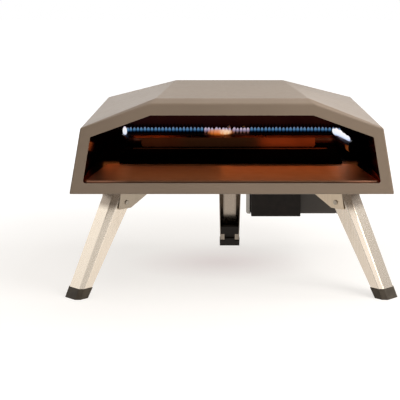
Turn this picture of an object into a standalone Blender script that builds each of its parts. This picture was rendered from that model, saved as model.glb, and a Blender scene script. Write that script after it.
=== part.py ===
"""A portable gas pizza oven: a folded and painted hood over a steel chamber, on three fold-away legs.

Metres, +Z up. The origin lies on the ground under the middle of the hood. The mouth faces -Y, and
depths are measured back from the front face, heights up from the bottom edge of the hood.
"""

import math

import bmesh
import bpy
from mathutils import Matrix, Vector

# Hood
body_width = 0.630
body_depth = 0.580
base_height = 0.2216
shoulder_width = 0.582
shoulder_height = 0.129
front_top_width = 0.317
crease_width = 0.294
roof_front_height = 0.1853
roof_rear_width = 0.254
roof_rear_height = 0.170
strip_depth = 0.011
strip_drop = 0.0101
hood_sheet = 0.001
fold_radius = 0.0025
hood_flange = 0.014
hood_stations = 9
vent_count = 9
vent_width = 0.005
vent_height = 0.034
vent_pitch = 0.017
vent_low = 0.060

# Mouth
mouth_sill = 0.022
mouth_low_width = 0.577
mouth_high_width = 0.5445
mouth_high = 0.1115
mouth_top_width = 0.312
mouth_top = 0.1535
mouth_low_radius = 0.004
mouth_high_radius = 0.003

# Gaps and overruns
clearance = 0.0003
play = 0.0005
overrun = 0.003

# Base pan
pan_sheet = 0.0009
pan_rim = 0.012
pan_radius = 0.003

# Chamber
liner_inset = 0.0115
liner_sheet = 0.0008
blanket_gap = 0.001
chamber_rear_gap = 0.1205
floor_height = 0.0246
tray_drop = 0.0073
tray_sheet = 0.0008
tray_radius = 0.004

# Baking floor
plate_front_gap = 0.0127
plate_rear_gap = 0.0357
plate_length = 0.209
plate_start = 0.0125
plate_sheet = 0.0012
plate_front_radius = 0.003
plate_rear_radius = 0.014
plate_edge = 0.001
stone_side_gap = 0.0150
stone_thickness = 0.012
stone_radius = 0.008
stone_edge = 0.0012
floor_joint = 0.0006
stop_end_gap = 0.017
stop_sheet = 0.0015
stop_height = 0.0145
stop_foot = 0.005
stop_cradle_gap = 0.0026

# Burner
burner_radius = 0.015
burner_wall = 0.001
burner_rise = 0.0235
burner_back = 0.0345
burner_side_gap = 0.03875
burner_left_inset = 0.0115
burner_flare = math.radians(9.7)
burner_bend = 0.036
burner_right_reach = 0.127
burner_left_reach = 0.0405
burner_bend_segments = 7
port_radius = 0.0012
port_pitch = 0.0081
port_margin = 0.012
port_sides = 6
cap_radius = 0.0175
cap_length = 0.012
cap_cover = 0.009
cap_edge = 0.0015
socket_x = 0.140
socket_radius = 0.0115
socket_wall = 0.0015
socket_length = 0.027
cradle_inset = 0.062
cradle_thickness = 0.002
cradle_width = 0.026
cradle_foot = 0.010
guard_low = 0.0143
guard_height = 0.0207
guard_radius = 0.005
guard_sheet = 0.001
guard_left_share = 0.80
guard_right_share = 0.768

# Mixing tube
mixer_radius = 0.0097
mixer_wall = 0.0013
mixer_engage = 0.009
mixer_run = 0.042
mixer_bend = 0.025
mixer_drop = 0.030
mixer_bend_segments = 6
mixer_hole_play = 0.002
air_slot_width = 0.004
air_slot_height = 0.012
air_slot_rise = 0.006

# Igniter and flame probe
igniter_x = -0.002
igniter_above_burner = 0.0085
insulator_radius = 0.004
insulator_length = 0.034
insulator_reach = 0.013
insulator_collar_radius = 0.0065
insulator_collar = 0.003
electrode_radius = 0.001
electrode_reach = 0.012
electrode_drop = 0.007
probe_x = 0.032
probe_radius = 0.0025
probe_length = 0.050
probe_collar_radius = 0.005
probe_reach = 0.026

# Control housing
housing_left = 0.0465
housing_right = 0.2405
housing_rear_gap = 0.035
housing_length = 0.175
housing_drop = 0.1138
housing_sheet = 0.0012
housing_radius = 0.003
side_bracket_sheet = 0.0015
side_bracket_flange = 0.0102
side_bracket_corner = 0.005
side_bracket_radius = 0.002

# Battery box
battery_left = 0.0470
battery_right = 0.1575
battery_depth = 0.0265
battery_drop = 0.1147
battery_top = 0.0010
battery_wall = 0.002
cover_thickness = 0.0024
cover_rib = 0.0015
cover_rib_width = 0.002
cover_rib_margin = 0.0045
cover_radius = 0.002
cell_radius = 0.0071
cell_length = 0.0492
cell_nub_radius = 0.0027
cell_nub = 0.001
cell_low = 0.030
cell_pitch = 0.020
cell_inset = 0.012

# Valve, knob and gas inlet
valve_drop = 0.068
valve_width = 0.036
valve_height = 0.036
valve_length = 0.043
valve_edge = 0.003
valve_bore_length = 0.036
jet_radius = 0.005
jet_height = 0.0165
jet_tip_radius = 0.0028
jet_bore = 0.0006
plunger_radius = 0.0075
plunger_length = 0.012
plunger_gap = 0.007
spindle_radius = 0.004
knob_radius = 0.023
knob_length = 0.021
knob_travel = 0.004
knob_gap = 0.0013
knob_edge = 0.003
knob_skirt = 0.006
knob_waist_radius = 0.019
knob_grip_width = 0.011
knob_grip_rise = 0.007
knob_grip_sink = 0.0013
knob_socket = 0.012
inlet_x = 0.198
inlet_radius = 0.0048
inlet_barb_radius = 0.0060
inlet_bore = 0.0025
inlet_reach = 0.030
inlet_nut_radius = 0.009
inlet_nut = 0.006
inlet_hex_radius = 0.0105
inlet_hex = 0.007
hex_sides = 6
inlet_inside = 0.008
barb_count = 3
feed_radius = 0.003
feed_bend = 0.008

# Legs
leg_splay = math.radians(27.3)
front_leg_x = 0.2330
front_leg_depth = 0.1370
rear_leg_inset = 0.1668
leg_azimuth = math.radians(45)
pivot_drop = 0.0385
pivot_to_web = 0.030
web_width = 0.0310
leg_sheet = 0.0015
chamfer_top = 0.0105
chamfer_foot = 0.0070
flange_top = 0.0328
flange_foot = 0.0158
leg_fold_radius = 0.0016
flange_strips = 4
leg_tab_width = 0.010
leg_tab_height = 0.018
leg_tab_rise = 0.0155
foot_height = 0.0205
foot_wall = 0.0008
foot_floor = 0.006
foot_plug_height = 0.052
foot_edge = 0.0004

# Leg brackets and pins
bracket_sheet = 0.002
bracket_length = 0.105
bracket_front = 0.030
bracket_low = 0.0125
bracket_toe = 0.022
bracket_heel = 0.011
bracket_corner = 0.003
bracket_back_corner = 0.006
pin_radius = 0.003
pin_head_radius = 0.005
pin_head = 0.0022
pin_head_edge = 0.0008

# Roundness
arc_segments = 4
turn_steps = 24
small_turn_steps = 12
tube_resolution = 4
burner_resolution = 6

# Directions
upward = Vector((0, 0, 1))
rearward = Vector((0, 1, 0))
rightward = Vector((1, 0, 0))

parts = None
cutters = None


def clear_scene():
    for item in list(bpy.data.objects):
        bpy.data.objects.remove(item, do_unlink=True)


def new_collection(name):
    group = bpy.data.collections.new(name)
    bpy.context.scene.collection.children.link(group)
    return group


def paint(name, colour, roughness, metallic):
    """A plain Principled material."""
    made = bpy.data.materials.get(name)
    if made:
        return made
    made = bpy.data.materials.new(name)
    made.use_nodes = True
    shader = made.node_tree.nodes["Principled BSDF"]
    shader.inputs["Base Color"].default_value = (*colour, 1)
    shader.inputs["Roughness"].default_value = roughness
    shader.inputs["Metallic"].default_value = metallic
    made.diffuse_color = (*colour, 1)
    return made


def taupe_coat():
    return paint("taupe_powder_coat", (0.36, 0.29, 0.24), 0.5, 0.0)


def steel():
    return paint("stainless_steel", (0.62, 0.58, 0.54), 0.3, 1.0)


def dark_steel():
    return paint("dark_steel", (0.06, 0.055, 0.05), 0.45, 1.0)


def dark_coat():
    return paint("grey_powder_coat", (0.06, 0.055, 0.05), 0.5, 0.0)


def black_plastic():
    return paint("black_plastic", (0.02, 0.018, 0.016), 0.5, 0.0)


def stone_grey():
    return paint("baking_stone", (0.05, 0.045, 0.04), 0.8, 0.0)


def wool():
    return paint("ceramic_wool", (0.8, 0.78, 0.72), 0.95, 0.0)


def ceramic():
    return paint("ceramic", (0.85, 0.84, 0.8), 0.35, 0.0)


def brass():
    return paint("brass", (0.65, 0.5, 0.22), 0.35, 1.0)


# Frames


def behind(depth):
    """The y of a place this far behind the front face."""
    return depth - body_depth / 2


def above(height):
    """The z of a place this far above the hood's bottom edge."""
    return base_height + height


def at(x, depth, height):
    return Vector((x, behind(depth), above(height)))


def flat_frame(x, depth, height):
    """Local x and y lie along X and Y, and local z points up."""
    return Matrix.Translation(at(x, depth, height))


def front_frame(x, depth, height):
    """Local x and y lie along X and Z, and local z points to the front."""
    return Matrix.Translation(at(x, depth, height)) @ Matrix.Rotation(math.pi / 2, 4, "X")


def side_frame(x, depth, height):
    """Local x and y lie along Y and Z, and local z points along +X."""
    turn = Matrix(((0, 0, 1, 0), (1, 0, 0, 0), (0, 1, 0, 0), (0, 0, 0, 1)))
    return Matrix.Translation(at(x, depth, height)) @ turn


def back_axis_frame(x, depth, height):
    """Local z points to the rear, for turned pieces."""
    return Matrix.Translation(at(x, depth, height)) @ Matrix.Rotation(-math.pi / 2, 4, "X")


# Shapes


def finish(item, colour, smooth=True):
    item.data.materials.clear()
    item.data.materials.append(colour)
    parts.objects.link(item)
    if smooth and item.type == "MESH":
        item.data.shade_smooth()
        item.data.set_sharp_from_angle(angle=math.radians(30))
    return item


def from_bmesh(name, shape, frame=None):
    mesh = bpy.data.meshes.new(name)
    shape.to_mesh(mesh)
    shape.free()
    item = bpy.data.objects.new(name, mesh)
    if frame is not None:
        item.matrix_world = frame
    return item


def as_mesh(item):
    """The curve object as a mesh object with its caps welded on, under the same name."""
    bpy.context.scene.collection.objects.link(item)
    bpy.context.view_layer.update()
    graph = bpy.context.evaluated_depsgraph_get()
    mesh = bpy.data.meshes.new_from_object(item.evaluated_get(graph))
    name = item.name
    place = item.matrix_world.copy()
    bpy.data.objects.remove(item, do_unlink=True)
    shape = bmesh.new()
    shape.from_mesh(mesh)
    bmesh.ops.remove_doubles(shape, verts=shape.verts, dist=1e-5)
    bmesh.ops.recalc_face_normals(shape, faces=shape.faces)
    shape.to_mesh(mesh)
    shape.free()
    made = bpy.data.objects.new(name, mesh)
    made.name = name
    made.matrix_world = place
    return made


def rounded(corners):
    """The outline through corners (x, y, radius), each turned into an arc of its radius."""
    points = []
    for index, (x, y, radius) in enumerate(corners):
        here = Vector((x, y))
        before = (Vector(corners[index - 1][:2]) - here).normalized()
        after = (Vector(corners[(index + 1) % len(corners)][:2]) - here).normalized()
        if radius == 0:
            points.append(here)
            continue
        half = before.angle(after) / 2
        centre = here + (before + after).normalized() * radius / math.sin(half)
        start = here + before * radius / math.tan(half) - centre
        end = here + after * radius / math.tan(half) - centre
        first = math.atan2(start.y, start.x)
        swing = math.atan2(start.x * end.y - start.y * end.x, start.dot(end))
        for step in range(arc_segments + 1):
            turn = first + swing * step / arc_segments
            points.append(centre + Vector((math.cos(turn), math.sin(turn))) * radius)
    return points


def slab(name, outline, thickness, frame):
    """A flat piece: a filled outline given half its thickness each way from its own plane."""
    curve = bpy.data.curves.new(name, "CURVE")
    curve.dimensions = "2D"
    curve.fill_mode = "BOTH"
    curve.extrude = thickness / 2
    spline = curve.splines.new("POLY")
    spline.points.add(len(outline) - 1)
    for point, (x, y) in zip(spline.points, outline):
        point.co = (x, y, 0, 1)
    spline.use_cyclic_u = True
    item = bpy.data.objects.new(name, curve)
    item.matrix_world = frame
    return as_mesh(item)


def rectangle(left, right, low, high, radius=0):
    return rounded([(left, low, radius), (right, low, radius), (right, high, radius), (left, high, radius)])


def rod(name, points, radius, resolution=tube_resolution):
    """A round bar along the points, with filled ends."""
    curve = bpy.data.curves.new(name, "CURVE")
    curve.dimensions = "3D"
    curve.bevel_depth = radius
    curve.bevel_resolution = resolution
    curve.use_fill_caps = True
    spline = curve.splines.new("POLY")
    spline.points.add(len(points) - 1)
    for point, place in zip(spline.points, points):
        point.co = (*place, 1)
    return as_mesh(bpy.data.objects.new(name, curve))


def turned(name, profile, frame, steps=turn_steps, closed=False):
    """A turned piece from (radius, height) points that run down the outer side."""
    mesh = bpy.data.meshes.new(name)
    count = len(profile)
    edges = [(index, index + 1) for index in range(count - 1)]
    if closed:
        edges.append((count - 1, 0))
    mesh.from_pydata([(radius, 0, height) for radius, height in profile], edges, [])
    item = bpy.data.objects.new(name, mesh)
    item.matrix_world = frame
    screw = item.modifiers.new("turn", "SCREW")
    screw.axis = "Z"
    screw.steps = steps
    screw.render_steps = steps
    screw.use_merge_vertices = True
    screw.merge_threshold = 1e-5
    screw.use_smooth_shade = True
    return item


def block(name, low, high):
    """A box between two corners."""
    shape = bmesh.new()
    bmesh.ops.create_cube(shape, size=1)
    low = Vector(low)
    high = Vector(high)
    for vertex in shape.verts:
        vertex.co = [low[k] + (vertex.co[k] + 0.5) * (high[k] - low[k]) for k in range(3)]
    return from_bmesh(name, shape)


def cylinder(name, radius, length, frame, sides=turn_steps):
    """A cylinder along its frame's z, starting at its origin."""
    shape = bmesh.new()
    bmesh.ops.create_cone(shape, cap_ends=True, segments=sides, radius1=radius, radius2=radius, depth=length)
    bmesh.ops.translate(shape, verts=shape.verts, vec=(0, 0, length / 2))
    return from_bmesh(name, shape, frame)


def bevel(item, width, segments=2, angle=math.radians(20)):
    made = item.modifiers.new("round", "BEVEL")
    made.width = width
    made.segments = segments
    made.limit_method = "ANGLE"
    made.angle_limit = angle
    made.harden_normals = False
    return item


def thicken(item, thickness):
    made = item.modifiers.new("sheet", "SOLIDIFY")
    made.thickness = thickness
    made.offset = -1
    made.use_even_offset = True
    return item


def helper(item):
    cutters.objects.link(item)
    item.hide_render = True
    item.display_type = "WIRE"


def combine(item, other, operation):
    if other.name not in cutters.objects:
        helper(other)
    made = item.modifiers.new(operation.lower(), "BOOLEAN")
    made.operation = operation
    made.object = other
    made.solver = "EXACT"
    return item


def cut(item, *others):
    for other in others:
        combine(item, other, "DIFFERENCE")
    return item


def join(item, *others):
    for other in others:
        combine(item, other, "UNION")
    return item


# Sections of the hood


def hood_half(share):
    """The right half of the hood's section, from the crease (0) to the rear (1)."""
    ridge = crease_width / 2 + share * (roof_rear_width - crease_width) / 2
    roof = roof_front_height + share * (roof_rear_height - roof_front_height)
    return [(body_width / 2, 0), (shoulder_width / 2, shoulder_height), (ridge, roof)]


def chamber_depth():
    """The depth of the chamber's rear wall."""
    return body_depth - chamber_rear_gap


def housing_back():
    return body_depth - housing_rear_gap


def housing_front():
    return housing_back() - housing_length


def front_half():
    """The right half of the front face."""
    return hood_half(0)[:2] + [(front_top_width / 2, roof_front_height - strip_drop)]


def meeting(point, along, other, other_along):
    """Where two lines cross in the plane of a section."""
    spread = along.x * other_along.y - along.y * other_along.x
    gap = other - point
    return point + along * (gap.x * other_along.y - gap.y * other_along.x) / spread


def inset(half, gap, low):
    """The half section moved inwards by the gap, its side ending at the height low."""
    corners = [Vector(point) for point in half]
    alongs = [corners[1] - corners[0], corners[2] - corners[1], Vector((-1, 0))]
    moved = []
    for corner, along in zip(corners, alongs):
        along = along.normalized()
        moved.append(corner + Vector((-along.y, along.x)) * gap)
    level = Vector((0, low))
    return [
        meeting(moved[0], alongs[0], level, Vector((1, 0))),
        meeting(moved[0], alongs[0], moved[1], alongs[1]),
        meeting(moved[1], alongs[1], moved[2], alongs[2]),
    ]


def share_at(depth):
    """How far along the hood, from the crease to the rear, this depth is."""
    return (depth - strip_depth) / (body_depth - strip_depth)


def inset_at(depth, gap, low):
    return inset(hood_half(share_at(depth)), gap, low)


def full_section(half):
    """A half section mirrored: from the left bottom corner over the top to the right bottom one."""
    return [(-x, z) for x, z in half] + [(x, z) for x, z in reversed(half)]


def shell_surface(name, stations, front_cap, flange=0):
    """An open surface through the stations, each a depth and a half section, closed at the rear."""
    shape = bmesh.new()
    rows = []
    for depth, half in stations:
        rows.append([shape.verts.new(at(x, depth, z)) for x, z in full_section(half)])
    for front, rear in zip(rows[:-1], rows[1:]):
        for index in range(len(front) - 1):
            shape.faces.new((front[index], front[index + 1], rear[index + 1], rear[index]))
    shape.faces.new(rows[-1])
    if front_cap:
        shape.faces.new(list(reversed(rows[0])))
    if flange:
        first = stations[0][0]
        last = stations[-1][0]
        inner = []
        for (depth, half), row in zip(stations, rows):
            along = first + flange + (depth - first) / (last - first) * (last - first - 2 * flange)
            side = half[0][0] - flange
            inner.append([shape.verts.new(at(sign * side, along, half[0][1])) for sign in (-1, 1)])
        for row, edge, next_row, next_edge in zip(rows[:-1], inner[:-1], rows[1:], inner[1:]):
            shape.faces.new((edge[0], row[0], next_row[0], next_edge[0]))
            shape.faces.new((row[-1], edge[1], next_edge[1], next_row[-1]))
        shape.faces.new((rows[0][0], inner[0][0], inner[0][1], rows[0][-1]))
        shape.faces.new((rows[-1][-1], inner[-1][1], inner[-1][0], rows[-1][0]))
    shape.normal_update()
    return from_bmesh(name, shape)


def mouth_outline():
    return rounded(
        [
            (-mouth_low_width / 2, mouth_sill, mouth_low_radius),
            (mouth_low_width / 2, mouth_sill, mouth_low_radius),
            (mouth_high_width / 2, mouth_high, mouth_high_radius),
            (mouth_top_width / 2, mouth_top, mouth_high_radius),
            (-mouth_top_width / 2, mouth_top, mouth_high_radius),
            (-mouth_high_width / 2, mouth_high, mouth_high_radius),
        ]
    )


def mouth_cutter():
    reach = hood_sheet + clearance + liner_sheet
    return slab("mouth_cut", mouth_outline(), reach + 2 * overrun, front_frame(0, reach / 2, 0))


def make_hood(mouth):
    stations = [(0, front_half())]
    for index in range(hood_stations + 1):
        share = index / hood_stations
        stations.append((strip_depth + share * (body_depth - strip_depth), hood_half(share)))
    hood = shell_surface("hood_shell", stations, True, hood_flange)
    bevel(hood, fold_radius, 2, math.radians(12))
    thicken(hood, hood_sheet)
    cut(hood, mouth)
    for index in range(vent_count):
        x = (index - (vent_count - 1) / 2) * vent_pitch
        slot = rectangle(-vent_width / 2, vent_width / 2, 0, vent_height, vent_width / 2 - clearance)
        frame = front_frame(x, body_depth, vent_low)
        cut(hood, slab(f"vent_cut_{index}", slot, 2 * overrun, frame))
    return finish(hood, taupe_coat())


# Base, floor and chamber


def pan_floor():
    """The height of the base pan's upper side."""
    return hood_sheet + clearance + pan_sheet


def side_lean(height):
    """How far the hood's side leans inwards at this height."""
    return (body_width - shoulder_width) / 2 * height / shoulder_height


def open_box(name, low, high, radius, sheet, missing):
    """Folded sheet between two corners, as a box without the faces on its missing sides."""
    shape = bmesh.new()
    bmesh.ops.create_cube(shape, size=1)
    low = Vector(low)
    high = Vector(high)
    for vertex in shape.verts:
        vertex.co = [low[k] + (vertex.co[k] + 0.5) * (high[k] - low[k]) for k in range(3)]
    shape.normal_update()
    gone = [face for face in shape.faces if any(face.normal.dot(side) > 0.5 for side in missing)]
    bmesh.ops.delete(shape, geom=gone, context="FACES")
    item = from_bmesh(name, shape)
    bevel(item, radius)
    return thicken(item, sheet)


def mixer_depth():
    """How far back the mixing tube comes down."""
    return burner_depth() + socket_length - mixer_engage + mixer_run + mixer_bend


def make_base_pan():
    low = hood_sheet + clearance
    top = low + pan_rim
    lean = max(side_lean(low), side_lean(top))
    half = body_width / 2 - lean - hood_sheet - clearance - play
    front = hood_sheet + clearance
    pan = open_box(
        "base_pan",
        at(-half, front, low),
        at(half, body_depth - front, top),
        pan_radius,
        pan_sheet,
        [upward],
    )
    hole = cylinder(
        "pan_mixer_cut",
        mixer_radius + mixer_hole_play,
        pan_sheet + 2 * overrun,
        flat_frame(socket_x, mixer_depth(), low - overrun),
    )
    cut(pan, hole)
    return finish(pan, dark_steel())


def burner_depth():
    """The depth of the burner's rear run."""
    return chamber_depth() - burner_back


def burner_height():
    return floor_height + burner_rise


def burner_corner():
    """How far out the burner's rear run would meet its arms, from the chamber's inner width there."""
    narrow = narrowest_inside(burner_height() - cap_radius, burner_height() + cap_radius)
    return narrow - burner_side_gap


def cradle_x():
    return burner_corner() - cradle_inset


def cradle_reach():
    """Half the length of a cradle's foot."""
    return cradle_width / 2 + cradle_thickness


def igniter_height():
    return burner_height() + burner_radius + igniter_above_burner


def rim_top():
    """The height of the base pan's upturned edge."""
    return hood_sheet + clearance + pan_rim


def make_liner(mouth):
    low = rim_top() + clearance
    front = hood_sheet + clearance
    back = chamber_depth() + liner_sheet
    stations = []
    for index in range(hood_stations + 1):
        depth = front + (back - front) * index / hood_stations
        stations.append((depth, inset_at(max(depth, strip_depth), liner_inset, low)))
    liner = shell_surface("inner_liner", stations, True)
    thicken(liner, liner_sheet)
    cut(liner, mouth)
    for name, x, height, radius in rear_wall_holes():
        frame = back_axis_frame(x, chamber_depth() - overrun, height)
        cut(liner, cylinder(f"liner_{name}_cut", radius, liner_sheet + 2 * overrun, frame))
    return finish(liner, steel())


def rear_wall_holes():
    """What passes through the chamber's rear wall: a name, x, height and radius each."""
    return (
        ("mixer", socket_x, burner_height(), mixer_radius + mixer_hole_play),
        ("igniter", igniter_x, igniter_height(), insulator_radius + play),
        ("probe", probe_x, igniter_height(), probe_radius + play),
    )


def blanket_thickness():
    return liner_inset - hood_sheet - 2 * blanket_gap


def make_insulation():
    low = rim_top() + blanket_gap + max(0, side_lean(blanket_thickness()))
    front = strip_depth + play
    back = chamber_depth() + liner_sheet + blanket_gap + blanket_thickness()
    stations = []
    for index in range(hood_stations + 1):
        depth = front + (back - front) * index / hood_stations
        stations.append((depth, inset_at(depth, hood_sheet + blanket_gap, low)))
    blanket = shell_surface("insulation_blanket", stations, False)
    thicken(blanket, blanket_thickness())
    for name, x, height, radius in rear_wall_holes():
        wider = radius + clearance
        if name != "mixer":
            wider = insulator_collar_radius + play
        frame = back_axis_frame(x, chamber_depth(), height)
        length = back - chamber_depth() + overrun
        cut(blanket, cylinder(f"blanket_{name}_cut", wider, length, frame))
    return finish(blanket, wool())


def liner_inside(height):
    """Half the chamber's inner width at this height, low on its side walls."""
    lean = math.hypot(1, (body_width - shoulder_width) / 2 / shoulder_height)
    return body_width / 2 - side_lean(height) - (liner_inset + liner_sheet) * lean


def narrowest_inside(low, high):
    """Half the chamber's least inner width between two heights."""
    return min(liner_inside(low), liner_inside(high))


def tray_height():
    """The height of the floor tray's upper side."""
    return floor_height - tray_drop


def tray_start():
    """How far back the floor tray starts, clear of the base pan's front fold."""
    return hood_sheet + clearance + pan_radius + play


def make_floor_tray():
    half = narrowest_inside(pan_floor(), tray_height()) - play
    front = tray_start()
    tray = open_box(
        "floor_tray",
        at(-half, front, pan_floor() + clearance),
        at(half, chamber_depth() - clearance, tray_height()),
        tray_radius,
        tray_sheet,
        [-upward],
    )
    return finish(tray, dark_steel())


def make_floor_insulation():
    half = narrowest_inside(pan_floor(), tray_height()) - play - tray_sheet - play
    front = tray_start() + tray_sheet + play
    board = block(
        "floor_insulation",
        at(-half, front, pan_floor() + clearance),
        at(half, chamber_depth() - tray_sheet - play - clearance, tray_height() - tray_sheet - clearance),
    )
    bevel(board, tray_radius)
    return finish(board, wool())


def make_landing_plate():
    """The front half of the baking floor: a steel plate with its edges folded down."""
    inside = liner_inside(floor_height)
    front = inside - plate_front_gap
    rear = inside - plate_rear_gap
    outline = rounded(
        [
            (-front, plate_start, plate_front_radius),
            (front, plate_start, plate_front_radius),
            (rear, plate_start + plate_length, plate_rear_radius),
            (-rear, plate_start + plate_length, plate_rear_radius),
        ]
    )
    shape = bmesh.new()
    upper = [shape.verts.new(at(x, depth, floor_height)) for x, depth in outline]
    lower = [shape.verts.new(at(x, depth, tray_height() + clearance)) for x, depth in outline]
    shape.faces.new(upper)
    for index in range(len(outline)):
        after = (index + 1) % len(outline)
        shape.faces.new((upper[after], upper[index], lower[index], lower[after]))
    shape.normal_update()
    plate = from_bmesh("landing_plate", shape)
    bevel(plate, plate_edge, 2, math.radians(60))
    thicken(plate, plate_sheet)
    return finish(plate, steel())


def stone_start():
    return plate_start + plate_length + floor_joint


def stone_half():
    return burner_corner() - stone_side_gap


def stop_start():
    """Where the stop behind the stone starts, just in front of the burner's cradles."""
    return burner_depth() - cradle_reach() - stop_cradle_gap - stop_foot


def make_stone():
    low = tray_height() + clearance
    length = stop_start() - clearance - stone_start()
    outline = rectangle(-stone_half(), stone_half(), 0, length, stone_radius)
    frame = flat_frame(0, stone_start(), low + stone_thickness / 2)
    stone = slab("baking_stone", outline, stone_thickness, frame)
    bevel(stone, stone_edge, 2, math.radians(60))
    return finish(stone, stone_grey())


def make_stone_stop():
    """A steel angle that keeps the stone off the burner."""
    low = tray_height() + clearance
    width = 2 * (stone_half() - stop_end_gap)
    profile = [
        (0, 0),
        (stop_foot, 0),
        (stop_foot, stop_sheet),
        (stop_sheet, stop_sheet),
        (stop_sheet, stop_height),
        (0, stop_height),
    ]
    stop = slab("stone_stop", profile, width, side_frame(0, stop_start(), low))
    return finish(stop, steel())


# Burner


def burner_path():
    """The burner's centre line in plan: right arm, rear run and short left arm, as (x, depth)."""
    depth = burner_depth()
    spread = math.sin(burner_flare)
    forward = math.cos(burner_flare)
    right_end = (burner_corner() + burner_right_reach * spread, depth - burner_right_reach * forward)
    left = burner_left_inset - burner_corner()
    left_end = (left - burner_left_reach * spread, depth - burner_left_reach * forward)
    corners = [right_end, (burner_corner(), depth), (left, depth), left_end]
    points = [Vector(corners[0])]
    for index in (1, 2):
        here = Vector(corners[index])
        before = (Vector(corners[index - 1]) - here).normalized()
        after = (Vector(corners[index + 1]) - here).normalized()
        half = before.angle(after) / 2
        reach = min(burner_bend / math.tan(half), burner_left_reach * 0.98)
        radius = reach * math.tan(half)
        centre = here + (before + after).normalized() * radius / math.sin(half)
        start = here + before * reach - centre
        end = here + after * reach - centre
        first = math.atan2(start.y, start.x)
        swing = math.atan2(start.x * end.y - start.y * end.x, start.dot(end))
        for step in range(burner_bend_segments + 1):
            turn = first + swing * step / burner_bend_segments
            points.append(centre + Vector((math.cos(turn), math.sin(turn))) * radius)
    points.append(Vector(corners[3]))
    return points


def path_places(points, start, pitch, stop):
    """Places a pitch apart along the path."""
    places = []
    walked = 0
    target = start
    for here, after in zip(points[:-1], points[1:]):
        length = (after - here).length
        while target <= walked + length and target <= stop:
            places.append(here + (after - here) * (target - walked) / length)
            target += pitch
        walked += length
    return places


def path_length(points):
    return sum((after - here).length for here, after in zip(points[:-1], points[1:]))


def extended(points, length):
    """The path with both ends moved outwards by the length."""
    first = points[0] + (points[0] - points[1]).normalized() * length
    last = points[-1] + (points[-1] - points[-2]).normalized() * length
    return [first, *points[1:-1], last]


def make_burner():
    plan = burner_path()
    level = burner_height()
    outer = [at(x, depth, level) for x, depth in plan]
    inner = [at(x, depth, level) for x, depth in extended(plan, overrun)]
    burner = rod("burner_tube", outer, burner_radius, burner_resolution)
    bore = rod("burner_bore", inner, burner_radius - burner_wall, burner_resolution)
    socket = cylinder(
        "burner_socket", socket_radius, socket_length, back_axis_frame(socket_x, burner_depth(), level)
    )
    socket_bore = cylinder(
        "burner_socket_bore",
        socket_radius - socket_wall,
        socket_length + overrun,
        back_axis_frame(socket_x, burner_depth(), level),
    )
    join(burner, socket)
    cut(burner, bore, socket_bore)
    ports = bmesh.new()
    length = path_length(plan)
    for x, depth in path_places(plan, port_margin, port_pitch, length - port_margin):
        place = Matrix.Translation(at(x, depth, level + burner_radius))
        bmesh.ops.create_cone(
            ports,
            cap_ends=True,
            segments=port_sides,
            radius1=port_radius,
            radius2=port_radius,
            depth=2 * overrun,
            matrix=place,
        )
    cut(burner, from_bmesh("burner_ports", ports))
    return finish(burner, steel())


def make_burner_caps():
    plan = burner_path()
    level = burner_height()
    bore = burner_radius + clearance
    profile = [
        (0, cap_length),
        (cap_radius - cap_edge, cap_length),
        (cap_radius, cap_length - cap_edge),
        (cap_radius, 0),
        (bore, 0),
        (bore, cap_cover),
        (0, cap_cover),
    ]
    for name, end, before in (("right", plan[0], plan[1]), ("left", plan[-1], plan[-2])):
        outward = (end - before).normalized()
        place = end - outward * (cap_cover - clearance)
        direction = Vector((outward.x, outward.y, 0))
        turn = direction.to_track_quat("Z", "Y").to_matrix().to_4x4()
        frame = Matrix.Translation(at(place.x, place.y, level)) @ turn
        cap = turned(f"burner_cap_{name}", profile, frame)
        finish(cap, dark_steel(), smooth=False)


def make_burner_cradles():
    low = tray_height() + clearance
    rise = burner_height() - low
    for name, sign in (("left", -1), ("right", 1)):
        frame = side_frame(sign * cradle_x(), burner_depth(), low)
        upright = slab(
            f"burner_cradle_{name}",
            rectangle(-cradle_width / 2, cradle_width / 2, cradle_thickness / 2, rise),
            cradle_thickness,
            frame,
        )
        foot_side = cradle_thickness / 2 + cradle_foot
        foot = block(
            f"cradle_foot_{name}",
            at(sign * cradle_x() - foot_side, burner_depth() - cradle_reach(), low),
            at(sign * cradle_x() + foot_side, burner_depth() + cradle_reach(), low + cradle_thickness),
        )
        saddle = cylinder(
            f"cradle_saddle_{name}",
            burner_radius + clearance,
            cradle_thickness + 2 * overrun,
            side_frame(sign * cradle_x() - cradle_thickness / 2 - overrun, burner_depth(), burner_height()),
        )
        join(upright, foot)
        cut(upright, saddle)
        finish(upright, dark_steel())


def make_burner_guard():
    """A steel strip in front of the burner that keeps flour and crust off it."""
    low = burner_height() - guard_low
    outline = rectangle(
        -guard_left_share * burner_corner(),
        guard_right_share * burner_corner(),
        low,
        low + guard_height,
        guard_radius,
    )
    middle = burner_depth() - burner_radius - clearance - guard_sheet / 2
    return finish(slab("burner_guard", outline, guard_sheet, front_frame(0, middle, 0)), steel())


def make_mixing_tube():
    """The tube that takes gas and air from the jet up and into the back of the burner."""
    start = burner_depth() + socket_length - mixer_engage
    level = burner_height()
    turn_from = start + mixer_run
    points = [Vector((start, level))]
    centre = Vector((turn_from, level - mixer_bend))
    for step in range(mixer_bend_segments + 1):
        turn = math.pi / 2 * (1 - step / mixer_bend_segments)
        points.append(centre + Vector((math.cos(turn), math.sin(turn))) * mixer_bend)
    points.append(Vector((mixer_depth(), -mixer_drop)))
    outer = [at(socket_x, depth, height) for depth, height in points]
    inner = [at(socket_x, depth, height) for depth, height in extended(points, overrun)]
    tube = rod("mixing_tube", outer, mixer_radius)
    cut(tube, rod("mixer_bore", inner, mixer_radius - mixer_wall))
    slot = block(
        "air_slots",
        at(socket_x - mixer_radius - overrun, mixer_depth() - air_slot_width / 2, air_slot_rise - mixer_drop),
        at(
            socket_x + mixer_radius + overrun,
            mixer_depth() + air_slot_width / 2,
            air_slot_rise + air_slot_height - mixer_drop,
        ),
    )
    cut(tube, slot)
    return finish(tube, steel())


# Igniter and probe


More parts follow.
